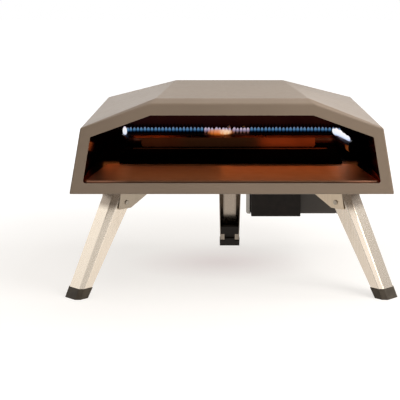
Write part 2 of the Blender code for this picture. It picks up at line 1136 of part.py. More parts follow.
def make_igniter():
    """A ceramic sleeve through the rear wall with a wire that bends down over the ports."""
    level = igniter_height()
    front = chamber_depth() - insulator_reach
    collar_start = insulator_reach + liner_sheet + clearance
    bore = electrode_radius + clearance
    profile = [
        (bore, insulator_length),
        (insulator_radius, insulator_length),
        (insulator_radius, collar_start + insulator_collar),
        (insulator_collar_radius, collar_start + insulator_collar),
        (insulator_collar_radius, collar_start),
        (insulator_radius, collar_start),
        (insulator_radius, 0),
        (bore, 0),
    ]
    frame = back_axis_frame(igniter_x, front, level)
    sleeve = turned("igniter_insulator", profile, frame, small_turn_steps, closed=True)
    finish(sleeve, ceramic(), smooth=False)
    bend = electrode_drop / 2
    points = [
        at(igniter_x, front + insulator_length - clearance, level),
        at(igniter_x, front - electrode_reach + bend, level),
        at(igniter_x, front - electrode_reach + bend / 4, level - bend / 4),
        at(igniter_x, front - electrode_reach, level - bend),
        at(igniter_x, front - electrode_reach, level - electrode_drop),
    ]
    wire = rod("igniter_electrode", points, electrode_radius, 1)
    finish(wire, steel())


def make_probe():
    """The flame probe that holds the safety valve open."""
    front = chamber_depth() - probe_reach
    collar_start = probe_reach + liner_sheet + clearance
    profile = [
        (0, probe_length),
        (probe_radius, probe_length),
        (probe_radius, collar_start + insulator_collar),
        (probe_collar_radius, collar_start + insulator_collar),
        (probe_collar_radius, collar_start),
        (probe_radius, collar_start),
        (probe_radius, probe_radius),
        (0, 0),
    ]
    frame = back_axis_frame(probe_x, front, igniter_height())
    probe = turned("flame_probe", profile, frame, small_turn_steps)
    finish(probe, brass(), smooth=False)


# Control housing, battery box, valve and knob


def housing_top():
    """Just under the base pan."""
    return hood_sheet


def make_housing():
    housing = open_box(
        "control_housing",
        at(housing_left, housing_front(), -housing_drop),
        at(housing_right, housing_back(), housing_top()),
        housing_radius,
        housing_sheet,
        [upward],
    )
    spindle_hole = cylinder(
        "housing_spindle_cut",
        spindle_radius + pin_head_edge,
        housing_sheet + 2 * overrun,
        back_axis_frame(socket_x, housing_back() - housing_sheet - overrun, -valve_drop),
    )
    inlet_hole = cylinder(
        "housing_inlet_cut",
        inlet_radius + clearance,
        housing_sheet + 2 * overrun,
        back_axis_frame(inlet_x, housing_back() - housing_sheet - overrun, -valve_drop),
    )
    cut(housing, spindle_hole, inlet_hole)
    return finish(housing, dark_coat())


def make_side_brackets():
    """Folded steel brackets that hold the control housing's two ends to the base."""
    low = -housing_drop
    top = housing_top()
    for name, sign, wall in (("left", -1, housing_left), ("right", 1, housing_right)):
        near = wall + sign * clearance
        far = near + sign * side_bracket_flange
        bracket = open_box(
            f"housing_bracket_{name}",
            at(min(near, far), housing_front(), low),
            at(max(near, far), housing_back(), top),
            side_bracket_radius,
            side_bracket_sheet,
            [rightward * sign, rearward, -upward],
        )
        outline = [Vector((far + sign * overrun, low + side_bracket_corner))]
        for step in range(arc_segments + 1):
            turn = math.pi / 2 * step / arc_segments
            across = side_bracket_corner * (1 - math.cos(turn))
            outline.append(Vector((far - sign * across, low + side_bracket_corner * (1 - math.sin(turn)))))
        outline.append(Vector((far - sign * side_bracket_corner, low - overrun)))
        outline.append(Vector((far + sign * overrun, low - overrun)))
        corner = slab(
            f"bracket_corner_{name}",
            outline,
            2 * side_bracket_corner,
            front_frame(0, housing_front(), 0),
        )
        cut(bracket, corner)
        finish(bracket, steel())


def make_battery_box():
    """A black box on the housing's front with two cells behind a cover that slides aside."""
    outside = housing_front() - battery_depth
    front = outside + cover_thickness + clearance
    back = housing_front() - clearance
    low = -battery_drop
    top = battery_top
    box = block("battery_box", at(battery_left, front, low), at(battery_right, back, top))
    bevel(box, cover_radius / 2)
    space = block(
        "battery_space",
        at(battery_left + battery_wall, front - overrun, low + 3 * battery_wall + cover_rib_margin),
        at(battery_right - battery_wall, back - battery_wall, top - 3 * battery_wall - cover_rib_margin),
    )
    cut(box, space)
    cover = block("battery_cover", at(battery_left, outside, low), at(battery_right, front - clearance, top))
    bevel(cover, cover_radius / 2)
    for name, height in (
        ("low", low + cover_rib_margin),
        ("high", top - cover_rib_margin - cover_rib_width),
    ):
        groove = block(
            f"cover_groove_{name}",
            at(battery_left + battery_wall, front - overrun, height - clearance),
            at(battery_right + overrun, front + cover_rib + clearance, height + cover_rib_width + clearance),
        )
        cut(box, groove)
        rib = block(
            f"cover_rib_{name}",
            at(battery_left + battery_wall + clearance, front - cover_thickness / 2, height),
            at(battery_right - cover_radius, front + cover_rib, height + cover_rib_width),
        )
        join(cover, rib)
    finish(box, black_plastic())
    finish(cover, black_plastic())
    return back - battery_wall


def make_cells(wall_depth):
    profile = [
        (0, cell_length + cell_nub),
        (cell_nub_radius, cell_length + cell_nub),
        (cell_nub_radius, cell_length),
        (cell_radius, cell_length),
        (cell_radius, 0),
        (0, 0),
    ]
    lengthwise = Matrix.Rotation(math.pi / 2, 4, "Y")
    for index in range(2):
        height = cell_low - battery_drop + index * cell_pitch
        depth = wall_depth - clearance - cell_radius
        frame = Matrix.Translation(at(battery_left + cell_inset, depth, height)) @ lengthwise
        cell = turned(f"battery_cell_{index + 1}", profile, frame, small_turn_steps)
        finish(cell, black_plastic(), smooth=False)


def valve_back():
    return housing_back() - housing_sheet - clearance


def make_valve():
    back = valve_back()
    front = back - valve_length
    level = -valve_drop
    body = block(
        "valve_body",
        at(socket_x - valve_width / 2, front, level - valve_height / 2),
        at(socket_x + valve_width / 2, back, level + valve_height / 2),
    )
    bevel(body, valve_edge)
    bore = cylinder(
        "valve_bore",
        plunger_radius + clearance,
        valve_bore_length + overrun,
        back_axis_frame(socket_x, back - valve_bore_length, level),
    )
    gas_way = cylinder(
        "valve_gas_way",
        jet_tip_radius,
        valve_height,
        flat_frame(socket_x, mixer_depth(), level),
        small_turn_steps,
    )
    sideways = Matrix.Rotation(math.pi / 2, 4, "Y")
    side_frame = Matrix.Translation(at(socket_x, back - valve_bore_length / 2, level)) @ sideways
    side_way = cylinder("valve_side_way", jet_tip_radius, valve_width, side_frame, small_turn_steps)
    cut(body, bore, gas_way, side_way)
    finish(body, brass())
    low = level + valve_height / 2 + clearance
    profile = [
        (jet_bore, jet_height),
        (jet_tip_radius, jet_height),
        (jet_radius, jet_height - jet_radius),
        (jet_radius, 0),
        (jet_bore, 0),
    ]
    jet = turned("gas_jet", profile, flat_frame(socket_x, mixer_depth(), low), small_turn_steps, closed=True)
    finish(jet, brass(), smooth=False)


def make_knob():
    """The knob and its spindle, and the plunger that they push into the valve."""
    level = -valve_drop
    plunger_front = valve_back() - valve_bore_length + plunger_gap
    ring = [
        (spindle_radius + clearance, plunger_length),
        (plunger_radius, plunger_length),
        (plunger_radius, 0),
        (spindle_radius + clearance, 0),
    ]
    frame = back_axis_frame(socket_x, plunger_front, level)
    plunger = turned("valve_plunger", ring, frame, small_turn_steps, closed=True)
    finish(plunger, brass(), smooth=False)
    knob_start = housing_back() + knob_travel + knob_gap
    spindle_end = knob_start + knob_socket - clearance
    spindle = cylinder(
        "valve_spindle",
        spindle_radius,
        spindle_end - plunger_front,
        back_axis_frame(socket_x, plunger_front, level),
        small_turn_steps,
    )
    finish(spindle, steel())
    bore = spindle_radius + clearance
    profile = [
        (0, knob_length - knob_grip_rise),
        (knob_waist_radius - knob_edge, knob_length - knob_grip_rise),
        (knob_waist_radius, knob_length - knob_grip_rise - knob_edge),
        (knob_waist_radius, knob_skirt + knob_edge),
        (knob_radius, knob_skirt),
        (knob_radius, 0),
        (bore, 0),
        (bore, knob_socket),
        (0, knob_socket),
    ]
    knob = turned("control_knob", profile, back_axis_frame(socket_x, knob_start, level))
    grip_reach = knob_waist_radius - 2 * knob_edge
    grip_depth = knob_grip_rise + knob_grip_sink
    grip = slab(
        "knob_grip",
        rectangle(
            -knob_grip_width / 2, knob_grip_width / 2, -grip_reach, grip_reach, knob_grip_width / 2 - clearance
        ),
        grip_depth,
        front_frame(socket_x, knob_start + knob_length - grip_depth / 2, level),
    )
    join(knob, grip)
    finish(knob, black_plastic(), smooth=False)


def make_gas_inlet():
    """The hose tail on the housing's back, its hexagon and nut, and the pipe to the valve."""
    level = -valve_drop
    wall = housing_back() - housing_sheet
    start = wall - inlet_inside
    end = housing_back() + inlet_reach
    nut_back = wall - clearance
    profile = [(inlet_bore, end - start), (inlet_radius - jet_bore, end - start)]
    first = housing_back() + clearance + inlet_hex
    pitch = (end - first) / barb_count
    for index in reversed(range(barb_count)):
        foot = first + index * pitch - start
        profile.append((inlet_barb_radius, foot + pitch / 3))
        profile.append((inlet_radius, foot))
    profile += [
        (inlet_radius, nut_back - start),
        (inlet_nut_radius, nut_back - start),
        (inlet_nut_radius, nut_back - start - inlet_nut),
        (inlet_radius, nut_back - start - inlet_nut),
        (inlet_radius, 0),
        (inlet_bore, 0),
    ]
    frame = back_axis_frame(inlet_x, start, level)
    inlet = turned("gas_inlet", profile, frame, small_turn_steps, closed=True)
    hex_frame = back_axis_frame(inlet_x, housing_back() + clearance, level)
    bore_frame = back_axis_frame(inlet_x, start, level)
    bore_radius = (inlet_bore + inlet_radius) / 2
    hexagon = cylinder("inlet_hexagon", inlet_hex_radius, inlet_hex, hex_frame, hex_sides)
    cut(hexagon, cylinder("inlet_bore_cut", bore_radius, end - start, bore_frame, small_turn_steps))
    join(inlet, hexagon)
    finish(inlet, brass(), smooth=False)
    valve_side = socket_x + valve_width / 2 + clearance
    pipe_depth = valve_back() - valve_bore_length / 2
    corner = inlet_x
    turn_radius = feed_bend
    points = [at(corner, start - clearance, level)]
    centre_x = corner - turn_radius
    centre_depth = pipe_depth + turn_radius
    for step in range(arc_segments + 1):
        turn = -math.pi / 2 * step / arc_segments
        points.append(
            at(centre_x + turn_radius * math.cos(turn), centre_depth + turn_radius * math.sin(turn), level)
        )
    points.append(at(valve_side, pipe_depth, level))
    pipe = rod("gas_feed_pipe", points, feed_radius, 2)
    finish(pipe, brass())


# Legs


def leg_frame(x, depth, azimuth):
    """The leg's own frame: its origin on the pivot, x along the pin, y inwards and z up the leg."""
    place = Matrix.Translation(at(x, depth, -pivot_drop))
    return place @ Matrix.Rotation(azimuth, 4, "Z") @ Matrix.Rotation(-leg_splay, 4, "X")


def bracket_frame(x, depth, azimuth):
    return Matrix.Translation(at(x, depth, -pivot_drop)) @ Matrix.Rotation(azimuth, 4, "Z")


def ground_at(y):
    """Where the ground is along the leg, for a place this far inwards of the pivot."""
    return (-(base_height - pivot_drop) + y * math.sin(leg_splay)) / math.cos(leg_splay)


def leg_top_limit():
    """How far above the pivot the leg may reach: its bracket's top plate is there."""
    return pivot_drop + hood_sheet - bracket_sheet - 2 * clearance


def leg_top_at(y):
    """The leg's upper edge: level where it bears on the bracket, and round where it turns past it."""
    limit = leg_top_limit()
    level = (limit + y * math.sin(leg_splay)) / math.cos(leg_splay)
    if y < -limit * math.sin(leg_splay):
        return level
    swing = limit - clearance
    return math.sqrt(max(swing**2 - y**2, 0))


def leg_columns(chamfer, flange):
    """Across the folded sheet: (x, y) from the left flange's edge round the web to the right one."""
    web = web_width / 2
    right = [(web, -pivot_to_web), (web + chamfer, chamfer - pivot_to_web)]
    for strip in range(1, flange_strips + 1):
        share = strip / flange_strips
        right.append((web + chamfer, chamfer - pivot_to_web + flange * share))
    return [(-x, y) for x, y in reversed(right)] + right


def leg_low_end(y):
    lift = foot_floor + clearance + leg_sheet * math.sin(leg_splay)
    return ground_at(y) + lift / math.cos(leg_splay)


def make_leg(name, frame):
    shape = bmesh.new()
    low_columns = leg_columns(chamfer_foot, flange_foot)
    top_columns = leg_columns(chamfer_top, flange_top)
    low = [shape.verts.new((x, y, leg_low_end(y))) for x, y in low_columns]
    high = [shape.verts.new((x, y, leg_top_at(y))) for x, y in top_columns]
    for index in range(len(low) - 1):
        shape.faces.new((low[index], low[index + 1], high[index + 1], high[index]))
    bmesh.ops.reverse_faces(shape, faces=shape.faces) if outward_is_wrong(shape) else None
    leg = from_bmesh(f"leg_{name}", shape, frame)
    bevel(leg, leg_fold_radius, 2, math.radians(30))
    thicken(leg, leg_sheet)
    side = web_width / 2 + chamfer_top
    hole = cylinder(
        f"leg_pin_cut_{name}",
        pin_radius + clearance,
        2 * side + 2 * overrun,
        frame @ Matrix.Translation((-side - overrun, 0, 0)) @ Matrix.Rotation(math.pi / 2, 4, "Y"),
    )
    for sign in (-1, 1):
        edge_x = web_width / 2 + chamfer_foot
        edge_y = chamfer_foot - pivot_to_web + flange_foot
        low_z = leg_low_end(edge_y) + leg_tab_rise - foot_floor
        tab = block(
            f"leg_tab_{name}_{sign + 1}",
            (min(sign * edge_x, sign * (edge_x - leg_tab_width)), edge_y - leg_sheet, low_z),
            (max(sign * edge_x, sign * (edge_x - leg_tab_width)), edge_y, low_z + leg_tab_height),
        )
        tab.matrix_world = frame
        join(leg, tab)
    cut(leg, hole)
    return finish(leg, steel())


def outward_is_wrong(shape):
    """True when the web's normal points inwards."""
    shape.normal_update()
    webs = [face for face in shape.faces if abs(face.normal.y) > 0.9]
    return bool(webs) and webs[0].normal.y > 0


def foot_prism(name, grow, low, high, frame):
    """The leg's own section, grown outwards, between two heights above the ground."""
    shape = bmesh.new()
    rows = []
    for height in (low, high):
        lift = height / math.cos(leg_splay)
        rows.append([shape.verts.new((x, y, ground_at(y) + lift)) for x, y in section_outline(grow, height)])
    shape.faces.new(list(reversed(rows[0])))
    shape.faces.new(rows[1])
    count = len(rows[0])
    for index in range(count):
        after = (index + 1) % count
        shape.faces.new((rows[0][index], rows[0][after], rows[1][after], rows[1][index]))
    bmesh.ops.recalc_face_normals(shape, faces=shape.faces)
    return from_bmesh(name, shape, frame)


def section_outline(grow, height):
    """The leg's outline at a height above the ground, grown outwards, as a closed shape."""
    length = leg_top_at(-pivot_to_web) - leg_low_end(-pivot_to_web)
    share = (height - foot_floor) / math.cos(leg_splay) / length
    chamfer = chamfer_foot + share * (chamfer_top - chamfer_foot)
    flange = flange_foot + share * (flange_top - flange_foot)
    web = web_width / 2 + grow * math.tan(math.pi / 8)
    side = web_width / 2 + chamfer + grow
    front = -pivot_to_web - grow
    knee = chamfer - pivot_to_web - grow * math.tan(math.pi / 8)
    back = chamfer - pivot_to_web + flange + grow
    return [(-web, front), (web, front), (side, knee), (side, back), (-side, back), (-side, knee)]


def make_foot(name, frame):
    foot = foot_prism(f"foot_{name}", foot_wall + clearance, 0, foot_height, frame)
    bevel(foot, foot_edge)
    pocket = foot_prism(f"foot_pocket_{name}", clearance, foot_floor, foot_plug_height, frame)
    inside = -leg_sheet - clearance - play
    plug = foot_prism(f"foot_plug_{name}", inside, foot_floor / 2, foot_plug_height, frame)
    cut(foot, pocket)
    join(foot, plug)
    back = chamfer_foot - pivot_to_web + flange_foot
    side = web_width / 2 + chamfer_foot
    for sign in (-1, 1):
        near = side - foot_edge
        far = side - leg_tab_width
        low_z = leg_low_end(back) + leg_tab_rise - foot_floor
        high_z = low_z + leg_tab_height + clearance
        window = block(
            f"foot_window_{name}_{sign + 1}",
            (min(sign * near, sign * far) - clearance, back - leg_sheet - play, low_z - clearance),
            (max(sign * near, sign * far) + clearance, back + foot_wall + overrun, high_z),
        )
        window.matrix_world = frame
        cut(foot, window)
    return finish(foot, black_plastic())


def make_bracket(name, frame):
    inner = web_width / 2 + chamfer_top + play
    top = pivot_drop + hood_sheet - clearance
    roof = top - bracket_sheet
    outline = rounded(
        [
            (-bracket_toe, -bracket_low, bracket_corner),
            (bracket_heel, -bracket_low, bracket_corner),
            (bracket_length, roof - bracket_sheet, bracket_back_corner),
            (bracket_length, top, 0),
            (-bracket_toe / 2, top, 0),
        ]
    )
    to_side = Matrix(((0, 0, 1, 0), (1, 0, 0, 0), (0, 1, 0, 0), (0, 0, 0, 1)))
    plates = []
    for tag, sign in (("a", -1), ("b", 1)):
        middle = sign * (inner + bracket_sheet / 2)
        place = frame @ Matrix.Translation((middle, 0, 0)) @ to_side
        plates.append(slab(f"bracket_side_{name}_{tag}", outline, bracket_sheet, place))
    outer = inner + bracket_sheet
    bracket = slab(
        f"leg_bracket_{name}",
        rectangle(-outer, outer, -bracket_front, bracket_length),
        bracket_sheet,
        frame @ Matrix.Translation((0, 0, top - bracket_sheet / 2)),
    )
    join(bracket, *plates)
    hole = cylinder(
        f"bracket_pin_cut_{name}",
        pin_radius + clearance,
        2 * (outer + overrun),
        frame @ Matrix.Translation((-outer - overrun, 0, 0)) @ Matrix.Rotation(math.pi / 2, 4, "Y"),
    )
    cut(bracket, hole)
    finish(bracket, steel())
    reach = outer + clearance
    profile = [
        (0, reach + pin_head),
        (pin_head_radius - pin_head_edge, reach + pin_head),
        (pin_head_radius, reach + pin_head - pin_head_edge),
        (pin_head_radius, reach),
        (pin_radius, reach),
        (pin_radius, -reach),
        (pin_head_radius, -reach),
        (pin_head_radius, -reach - pin_head + pin_head_edge),
        (pin_head_radius - pin_head_edge, -reach - pin_head),
        (0, -reach - pin_head),
    ]
    pin = turned(f"leg_pin_{name}", profile, frame @ Matrix.Rotation(math.pi / 2, 4, "Y"), small_turn_steps)
    finish(pin, steel(), smooth=False)


def make_legs():
    places = (
        ("front_left", -front_leg_x, front_leg_depth, -leg_azimuth),
        ("front_right", front_leg_x, front_leg_depth, leg_azimuth),
        ("rear", 0, body_depth - rear_leg_inset, math.pi),
    )
    for name, x, depth, azimuth in places:
        make_leg(name, leg_frame(x, depth, azimuth))
        make_foot(name, leg_frame(x, depth, azimuth))
        make_bracket(name, bracket_frame(x, depth, azimuth))


def build():
    global parts, cutters
    clear_scene()
    parts = new_collection("pizza_oven")
    cutters = new_collection("cutters")
    mouth = mouth_cutter()
    make_hood(mouth)
    make_base_pan()
    make_liner(mouth)
    make_insulation()
    make_floor_tray()
    make_floor_insulation()
    make_landing_plate()
    make_stone()
    make_stone_stop()
    make_burner()
    make_burner_caps()
    make_burner_cradles()
    make_burner_guard()
    make_mixing_tube()
    make_igniter()
    make_probe()
    make_housing()
    make_side_brackets()
    make_cells(make_battery_box())
    make_valve()
    make_knob()
    make_gas_inlet()
    make_legs()


build()
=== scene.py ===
"""Looks for the portable gas pizza oven: materials, flames, small fasteners, light and camera.

Every length is in metres in the frame of the CAD part: +Z up, the mouth facing -Y. Depths are measured
back from the hood's front face, and heights up from its bottom edge.
"""

import math
import random

import bmesh
import bpy
from mathutils import Matrix, Vector
from mathutils.bvhtree import BVHTree


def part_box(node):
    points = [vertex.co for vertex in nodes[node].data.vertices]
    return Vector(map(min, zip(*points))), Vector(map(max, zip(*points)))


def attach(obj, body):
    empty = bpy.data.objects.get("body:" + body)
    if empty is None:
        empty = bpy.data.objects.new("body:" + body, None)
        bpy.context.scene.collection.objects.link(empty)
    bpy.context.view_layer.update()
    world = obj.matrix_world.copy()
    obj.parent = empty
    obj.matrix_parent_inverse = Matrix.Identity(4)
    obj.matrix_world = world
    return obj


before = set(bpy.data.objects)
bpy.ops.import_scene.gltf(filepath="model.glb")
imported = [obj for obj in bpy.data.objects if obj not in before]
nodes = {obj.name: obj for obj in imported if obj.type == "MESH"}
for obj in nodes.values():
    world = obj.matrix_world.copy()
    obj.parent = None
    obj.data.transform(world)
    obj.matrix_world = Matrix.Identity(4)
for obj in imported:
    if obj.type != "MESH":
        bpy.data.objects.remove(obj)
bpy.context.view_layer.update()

ROOT = "oven"
LEGS = ("front_left", "front_right", "rear")
SIDES = (("left", -1), ("right", 1))
BASE = 0.2216
DEPTH = 0.580


def at(x, depth, height):
    """A place by its depth behind the front face and its height above the hood's bottom edge."""
    return Vector((x, depth - DEPTH / 2, BASE + height))


# Node trees


class Nodes:
    """Short calls for the nodes of one tree."""

    def __init__(self, tree):
        self.tree = tree

    def add(self, kind, **settings):
        made = self.tree.nodes.new(kind)
        for key, value in settings.items():
            setattr(made, key, value)
        return made

    def link(self, source, target):
        self.tree.links.new(source, target)

    def feed(self, socket, value):
        """Links what comes from a node to the socket, and sets anything else on it."""
        if hasattr(value, "is_output"):
            self.link(value, socket)
        else:
            socket.default_value = value

    def spread(self, value, low, high, from_low=0.0, from_high=1.0):
        """Low where the value is at from_low, high where it is at from_high, and even between them."""
        node = self.add("ShaderNodeMapRange")
        node.inputs["From Min"].default_value = from_low
        node.inputs["From Max"].default_value = from_high
        node.inputs["To Min"].default_value = low
        node.inputs["To Max"].default_value = high
        self.link(value, node.inputs["Value"])
        return node.outputs["Result"]

    def math(self, operation, first, second=0.0):
        node = self.add("ShaderNodeMath", operation=operation)
        self.feed(node.inputs[0], first)
        self.feed(node.inputs[1], second)
        return node.outputs["Value"]

    def vector(self, operation, first, second=(0, 0, 0)):
        node = self.add("ShaderNodeVectorMath", operation=operation)
        self.feed(node.inputs[0], first)
        self.feed(node.inputs[1], second)
        return node.outputs

    def any_ray(self, *kinds):
        """One where any of these kinds of ray arrives, else zero."""
        path = self.add("ShaderNodeLightPath")
        seen = path.outputs[kinds[0]]
        for kind in kinds[1:]:
            seen = self.math("MAXIMUM", seen, path.outputs[kind])
        return seen


# Sockets of a mix node that takes colours. They share their names with those for numbers

mix_factor = 0
mix_first = 6
mix_second = 7
mix_result = 2


class Maker(Nodes):
    """A node material with a Principled shader, whose patterns lie in the piece's own coordinates."""

    def __init__(self, name):
        self.material = bpy.data.materials.new(name)
        self.material.use_nodes = True
        super().__init__(self.material.node_tree)
        self.shader = self.tree.nodes["Principled BSDF"]
        self.output = self.tree.nodes["Material Output"]
        self.place = self.tree.nodes.new("ShaderNodeTexCoord").outputs["Object"]

    def mapped(self, scale, rotation=(0, 0, 0)):
        node = self.add("ShaderNodeMapping")
        node.inputs["Rotation"].default_value = rotation
        node.inputs["Scale"].default_value = scale
        self.link(self.place, node.inputs["Vector"])
        return node.outputs["Vector"]

    def noise(self, scale, detail=3.0, rough=0.5, place=None, distortion=0.0):
        node = self.add("ShaderNodeTexNoise")
        node.inputs["Scale"].default_value = scale
        node.inputs["Detail"].default_value = detail
        node.inputs["Roughness"].default_value = rough
        node.inputs["Distortion"].default_value = distortion
        self.link(place or self.place, node.inputs["Vector"])
        return node.outputs["Fac"]

    def cells(self, scale):
        node = self.add("ShaderNodeTexVoronoi")
        node.inputs["Scale"].default_value = scale
        self.link(self.place, node.inputs["Vector"])
        return node.outputs["Distance"]

    def ramp(self, value, stops):
        node = self.add("ShaderNodeValToRGB")
        ramp = node.color_ramp
        while len(ramp.elements) < len(stops):
            ramp.elements.new(0.5)
        for element, (position, colour) in zip(ramp.elements, stops):
            element.position = position
            element.color = colour
        self.link(value, node.inputs["Fac"])
        return node.outputs["Color"]

    def mix(self, factor, first, second):
        node = self.add("ShaderNodeMix", data_type="RGBA", blend_type="MIX")
        self.feed(node.inputs[mix_factor], factor)
        self.feed(node.inputs[mix_first], first)
        self.feed(node.inputs[mix_second], second)
        return node.outputs[mix_result]

    def axis(self, letter):
        node = self.add("ShaderNodeSeparateXYZ")
        self.link(self.place, node.inputs["Vector"])
        return node.outputs[letter]

    def distance(self, centre=(0, 0, 0), reach=(1, 1, 1)):
        """How far a place lies from the centre, each axis measured in shares of its own reach."""
        away = self.vector("SUBTRACT", self.place, centre)["Vector"]
        scaled = self.vector("DIVIDE", away, reach)["Vector"]
        return self.vector("LENGTH", scaled)["Value"]

    def bump(self, height, strength, distance):
        node = self.add("ShaderNodeBump")
        node.inputs["Strength"].default_value = strength
        node.inputs["Distance"].default_value = distance
        self.link(height, node.inputs["Height"])
        self.link(node.outputs["Normal"], self.shader.inputs["Normal"])

    def colour(self, source):
        self.link(source, self.shader.inputs["Base Color"])

    def roughness(self, value, rough, from_low=0.0, from_high=1.0):
        """A roughness that goes from the first of rough to the second with a pattern's value."""
        source = self.spread(value, *rough, from_low, from_high)
        self.link(source, self.shader.inputs["Roughness"])

    def constant(self, name, value):
        self.shader.inputs[name].default_value = value


# Kinds of material. A band is the part of a pattern's values over which one tone goes over to another

wide_band = (0.3, 0.7)
narrow_band = (0.35, 0.65)
line_relief = 0.0001

coat_cloud_scale = 7
coat_gloss_scale = 90
coat_pit_band = (0.35, 0.7)
coat_pit_strength = 0.22
coat_pit_share = 0.72
coat_rough = (0.38, 0.5)
coat_relief = 0.0002


def powder_coat(name, colour, darker, grain=1400):
    """Fine orange-peel powder coat with faint mottling."""
    made = Maker(name)
    cloud = made.noise(coat_cloud_scale, detail=4)
    fine = made.noise(grain, detail=2)
    tone = made.mix(made.spread(cloud, 0, 1, *wide_band), darker, colour)
    pit = (*[channel * coat_pit_share for channel in darker[:3]], 1)
    made.colour(made.mix(made.spread(fine, 0, coat_pit_strength, *coat_pit_band), tone, pit))
    made.roughness(made.noise(coat_gloss_scale), coat_rough)
    made.bump(fine, strength=0.25, distance=coat_relief)
    made.constant("Metallic", 0)
    return made.material


brush_line_scale = (900, 900, 9)
brush_band_scale = (60, 60, 3)
brush_line_band = (0.32, 0.68)
brush_band_share = 0.35


def brushed(name, colour, darker, turn=(0, 0, 0), rough=(0.26, 0.4), relief=0.12, sides=None, top=None):
    """Steel with straight brushing along its local z.

    It goes over to a tone of painted shade past |x| where sides is given, and above z where top is, each
    as (start, end, colour).
    """
    made = Maker(name)
    lines = made.noise(1, rough=0.6, place=made.mapped(brush_line_scale, turn))
    broad = made.noise(1, detail=2, place=made.mapped(brush_band_scale, turn))
    tone = made.mix(made.spread(lines, 0, 1, *brush_line_band), darker, colour)
    tone = made.mix(made.spread(broad, 0, brush_band_share, *wide_band), tone, darker)
    # Painted shade past |x|, where sides is given.
    if sides:
        start, end, side_shade_colour = sides
        out = made.math("ABSOLUTE", made.axis("X"))
        tone = made.mix(made.spread(out, 0, 1, start, end), tone, side_shade_colour)
    # Painted shade above z, where top is given.
    if top:
        start, end, top_shade_colour = top
        tone = made.mix(made.spread(made.axis("Z"), 0, 1, start, end), tone, top_shade_colour)
    made.colour(tone)
    made.roughness(lines, rough, *wide_band)
    made.bump(lines, strength=relief, distance=line_relief)
    made.constant("Metallic", 1)
    return made.material


stain_scale = 9
stain_shares = (0.3, 0.5, 0.72)
roll_mark_scale = (8, 700, 700)
roll_mark_share = 0.25
heat_gloss_scale = 40


def heated(name, dark, brown, blue, rough=(0.22, 0.36), rim=(1, 1, 1, 1), ends=None):
    """Steel that has been hot: straw, brown and blue stains over faint rolling marks.

    Where ends is given, it has a painted glow of fire light in the zone that is below its top, farther
    than its out from the middle and in front of its back, and fades into that at the zone's edges.
    """
    made = Maker(name)
    stain = made.noise(stain_scale, detail=4, rough=0.55, distortion=0.6)
    lines = made.noise(1, detail=2, place=made.mapped(roll_mark_scale))
    tint = made.ramp(stain, list(zip(stain_shares, (dark, brown, blue))))
    tint = made.mix(made.spread(lines, 0, roll_mark_share, *narrow_band), tint, dark)
    if ends:
        fade = ends["fade"]
        low = made.spread(made.axis("Z"), 1, 0, ends["top"] - fade, ends["top"])
        aside = made.spread(made.math("ABSOLUTE", made.axis("X")), 0, 1, ends["out"] - fade, ends["out"])
        ahead = made.spread(made.axis("Y"), 1, 0, ends["back"] - 2 * fade, ends["back"])
        zone = made.math("MULTIPLY", made.math("MULTIPLY", low, aside), ahead)
        tint = made.mix(zone, tint, ends["colour"])
    made.colour(tint)
    made.roughness(made.noise(heat_gloss_scale), rough)
    made.bump(lines, strength=0.08, distance=line_relief)
    made.constant("Metallic", 1)
    made.constant("Specular Tint", rim)
    return made.material


mould_cloud_scale = 60
mould_cell_reach = 0.8
mould_relief = 0.00012


def moulded(name, colour, paler, grain=1100, rough=(0.42, 0.55), specular=0.3):
    """Plastic with a fine spark-eroded grain."""
    made = Maker(name)
    fine = made.cells(grain)
    cloud = made.noise(mould_cloud_scale)
    made.colour(made.mix(made.spread(cloud, 0, 1, *narrow_band), colour, paler))
    made.roughness(fine, rough, 0, mould_cell_reach)
    made.bump(fine, strength=0.3, distance=mould_relief)
    made.constant("Metallic", 0)
    made.constant("Specular IOR Level", specular)
    return made.material


stone_grain_scale = 420
scorch_scale = 11
stone_gloss_scale = 300
scorched = (0.0012, 0.0009, 0.0008, 1)
unscorched = (0.003, 0.0022, 0.0018, 1)
pale_grain = (0.006, 0.0045, 0.0036, 1)
pale_grain_share = 0.25
pale_grain_reach = 0.35
stone_rough = (0.75, 0.95)
stone_relief = 0.0003


def fired_stone(name):
    """Dark cordierite: pores, pale grains and scorch clouds."""
    made = Maker(name)
    grains = made.cells(stone_grain_scale)
    scorch = made.noise(scorch_scale, detail=5, rough=0.6)
    tone = made.ramp(scorch, list(zip(narrow_band, (scorched, unscorched))))
    pale = made.spread(grains, pale_grain_share, 0, 0, pale_grain_reach)
    made.colour(made.mix(pale, tone, pale_grain))
    made.constant("Specular IOR Level", 0)
    made.roughness(made.noise(stone_gloss_scale, detail=2), stone_rough)
    made.bump(grains, strength=0.5, distance=stone_relief)
    return made.material


strand_scale = (300, 900, 300)
felt_rough = (0.85, 1.0)
felt_relief = 0.0008


def felt(name, colour, darker):
    """Matted ceramic fibre."""
    made = Maker(name)
    strands = made.noise(1, detail=5, rough=0.7, place=made.mapped(strand_scale), distortion=1.5)
    made.colour(made.mix(made.spread(strands, 0, 1, *wide_band), darker, colour))
    made.roughness(strands, felt_rough)
    made.bump(strands, strength=0.6, distance=felt_relief)
    return made.material


lathe_mark_scale = (140, 1800, 140)
lathe_rough = (0.25, 0.38)


def turned_metal(name, colour, darker):
    """Brass or steel with fine lathe marks."""
    made = Maker(name)
    rings = made.noise(1, detail=2, place=made.mapped(lathe_mark_scale))
    made.colour(made.mix(made.spread(rings, 0, 1, *wide_band), darker, colour))
    made.roughness(rings, lathe_rough)
    made.bump(rings, strength=0.1, distance=line_relief)
    made.constant("Metallic", 1)
    return made.material


soot_scale = 120
soot_band = (0.45, 0.75)
soot_share = 0.5
glaze_rough = (0.18, 0.4)
glaze_white = (0.8, 0.78, 0.72, 1)
soot_brown = (0.3, 0.24, 0.18, 1)


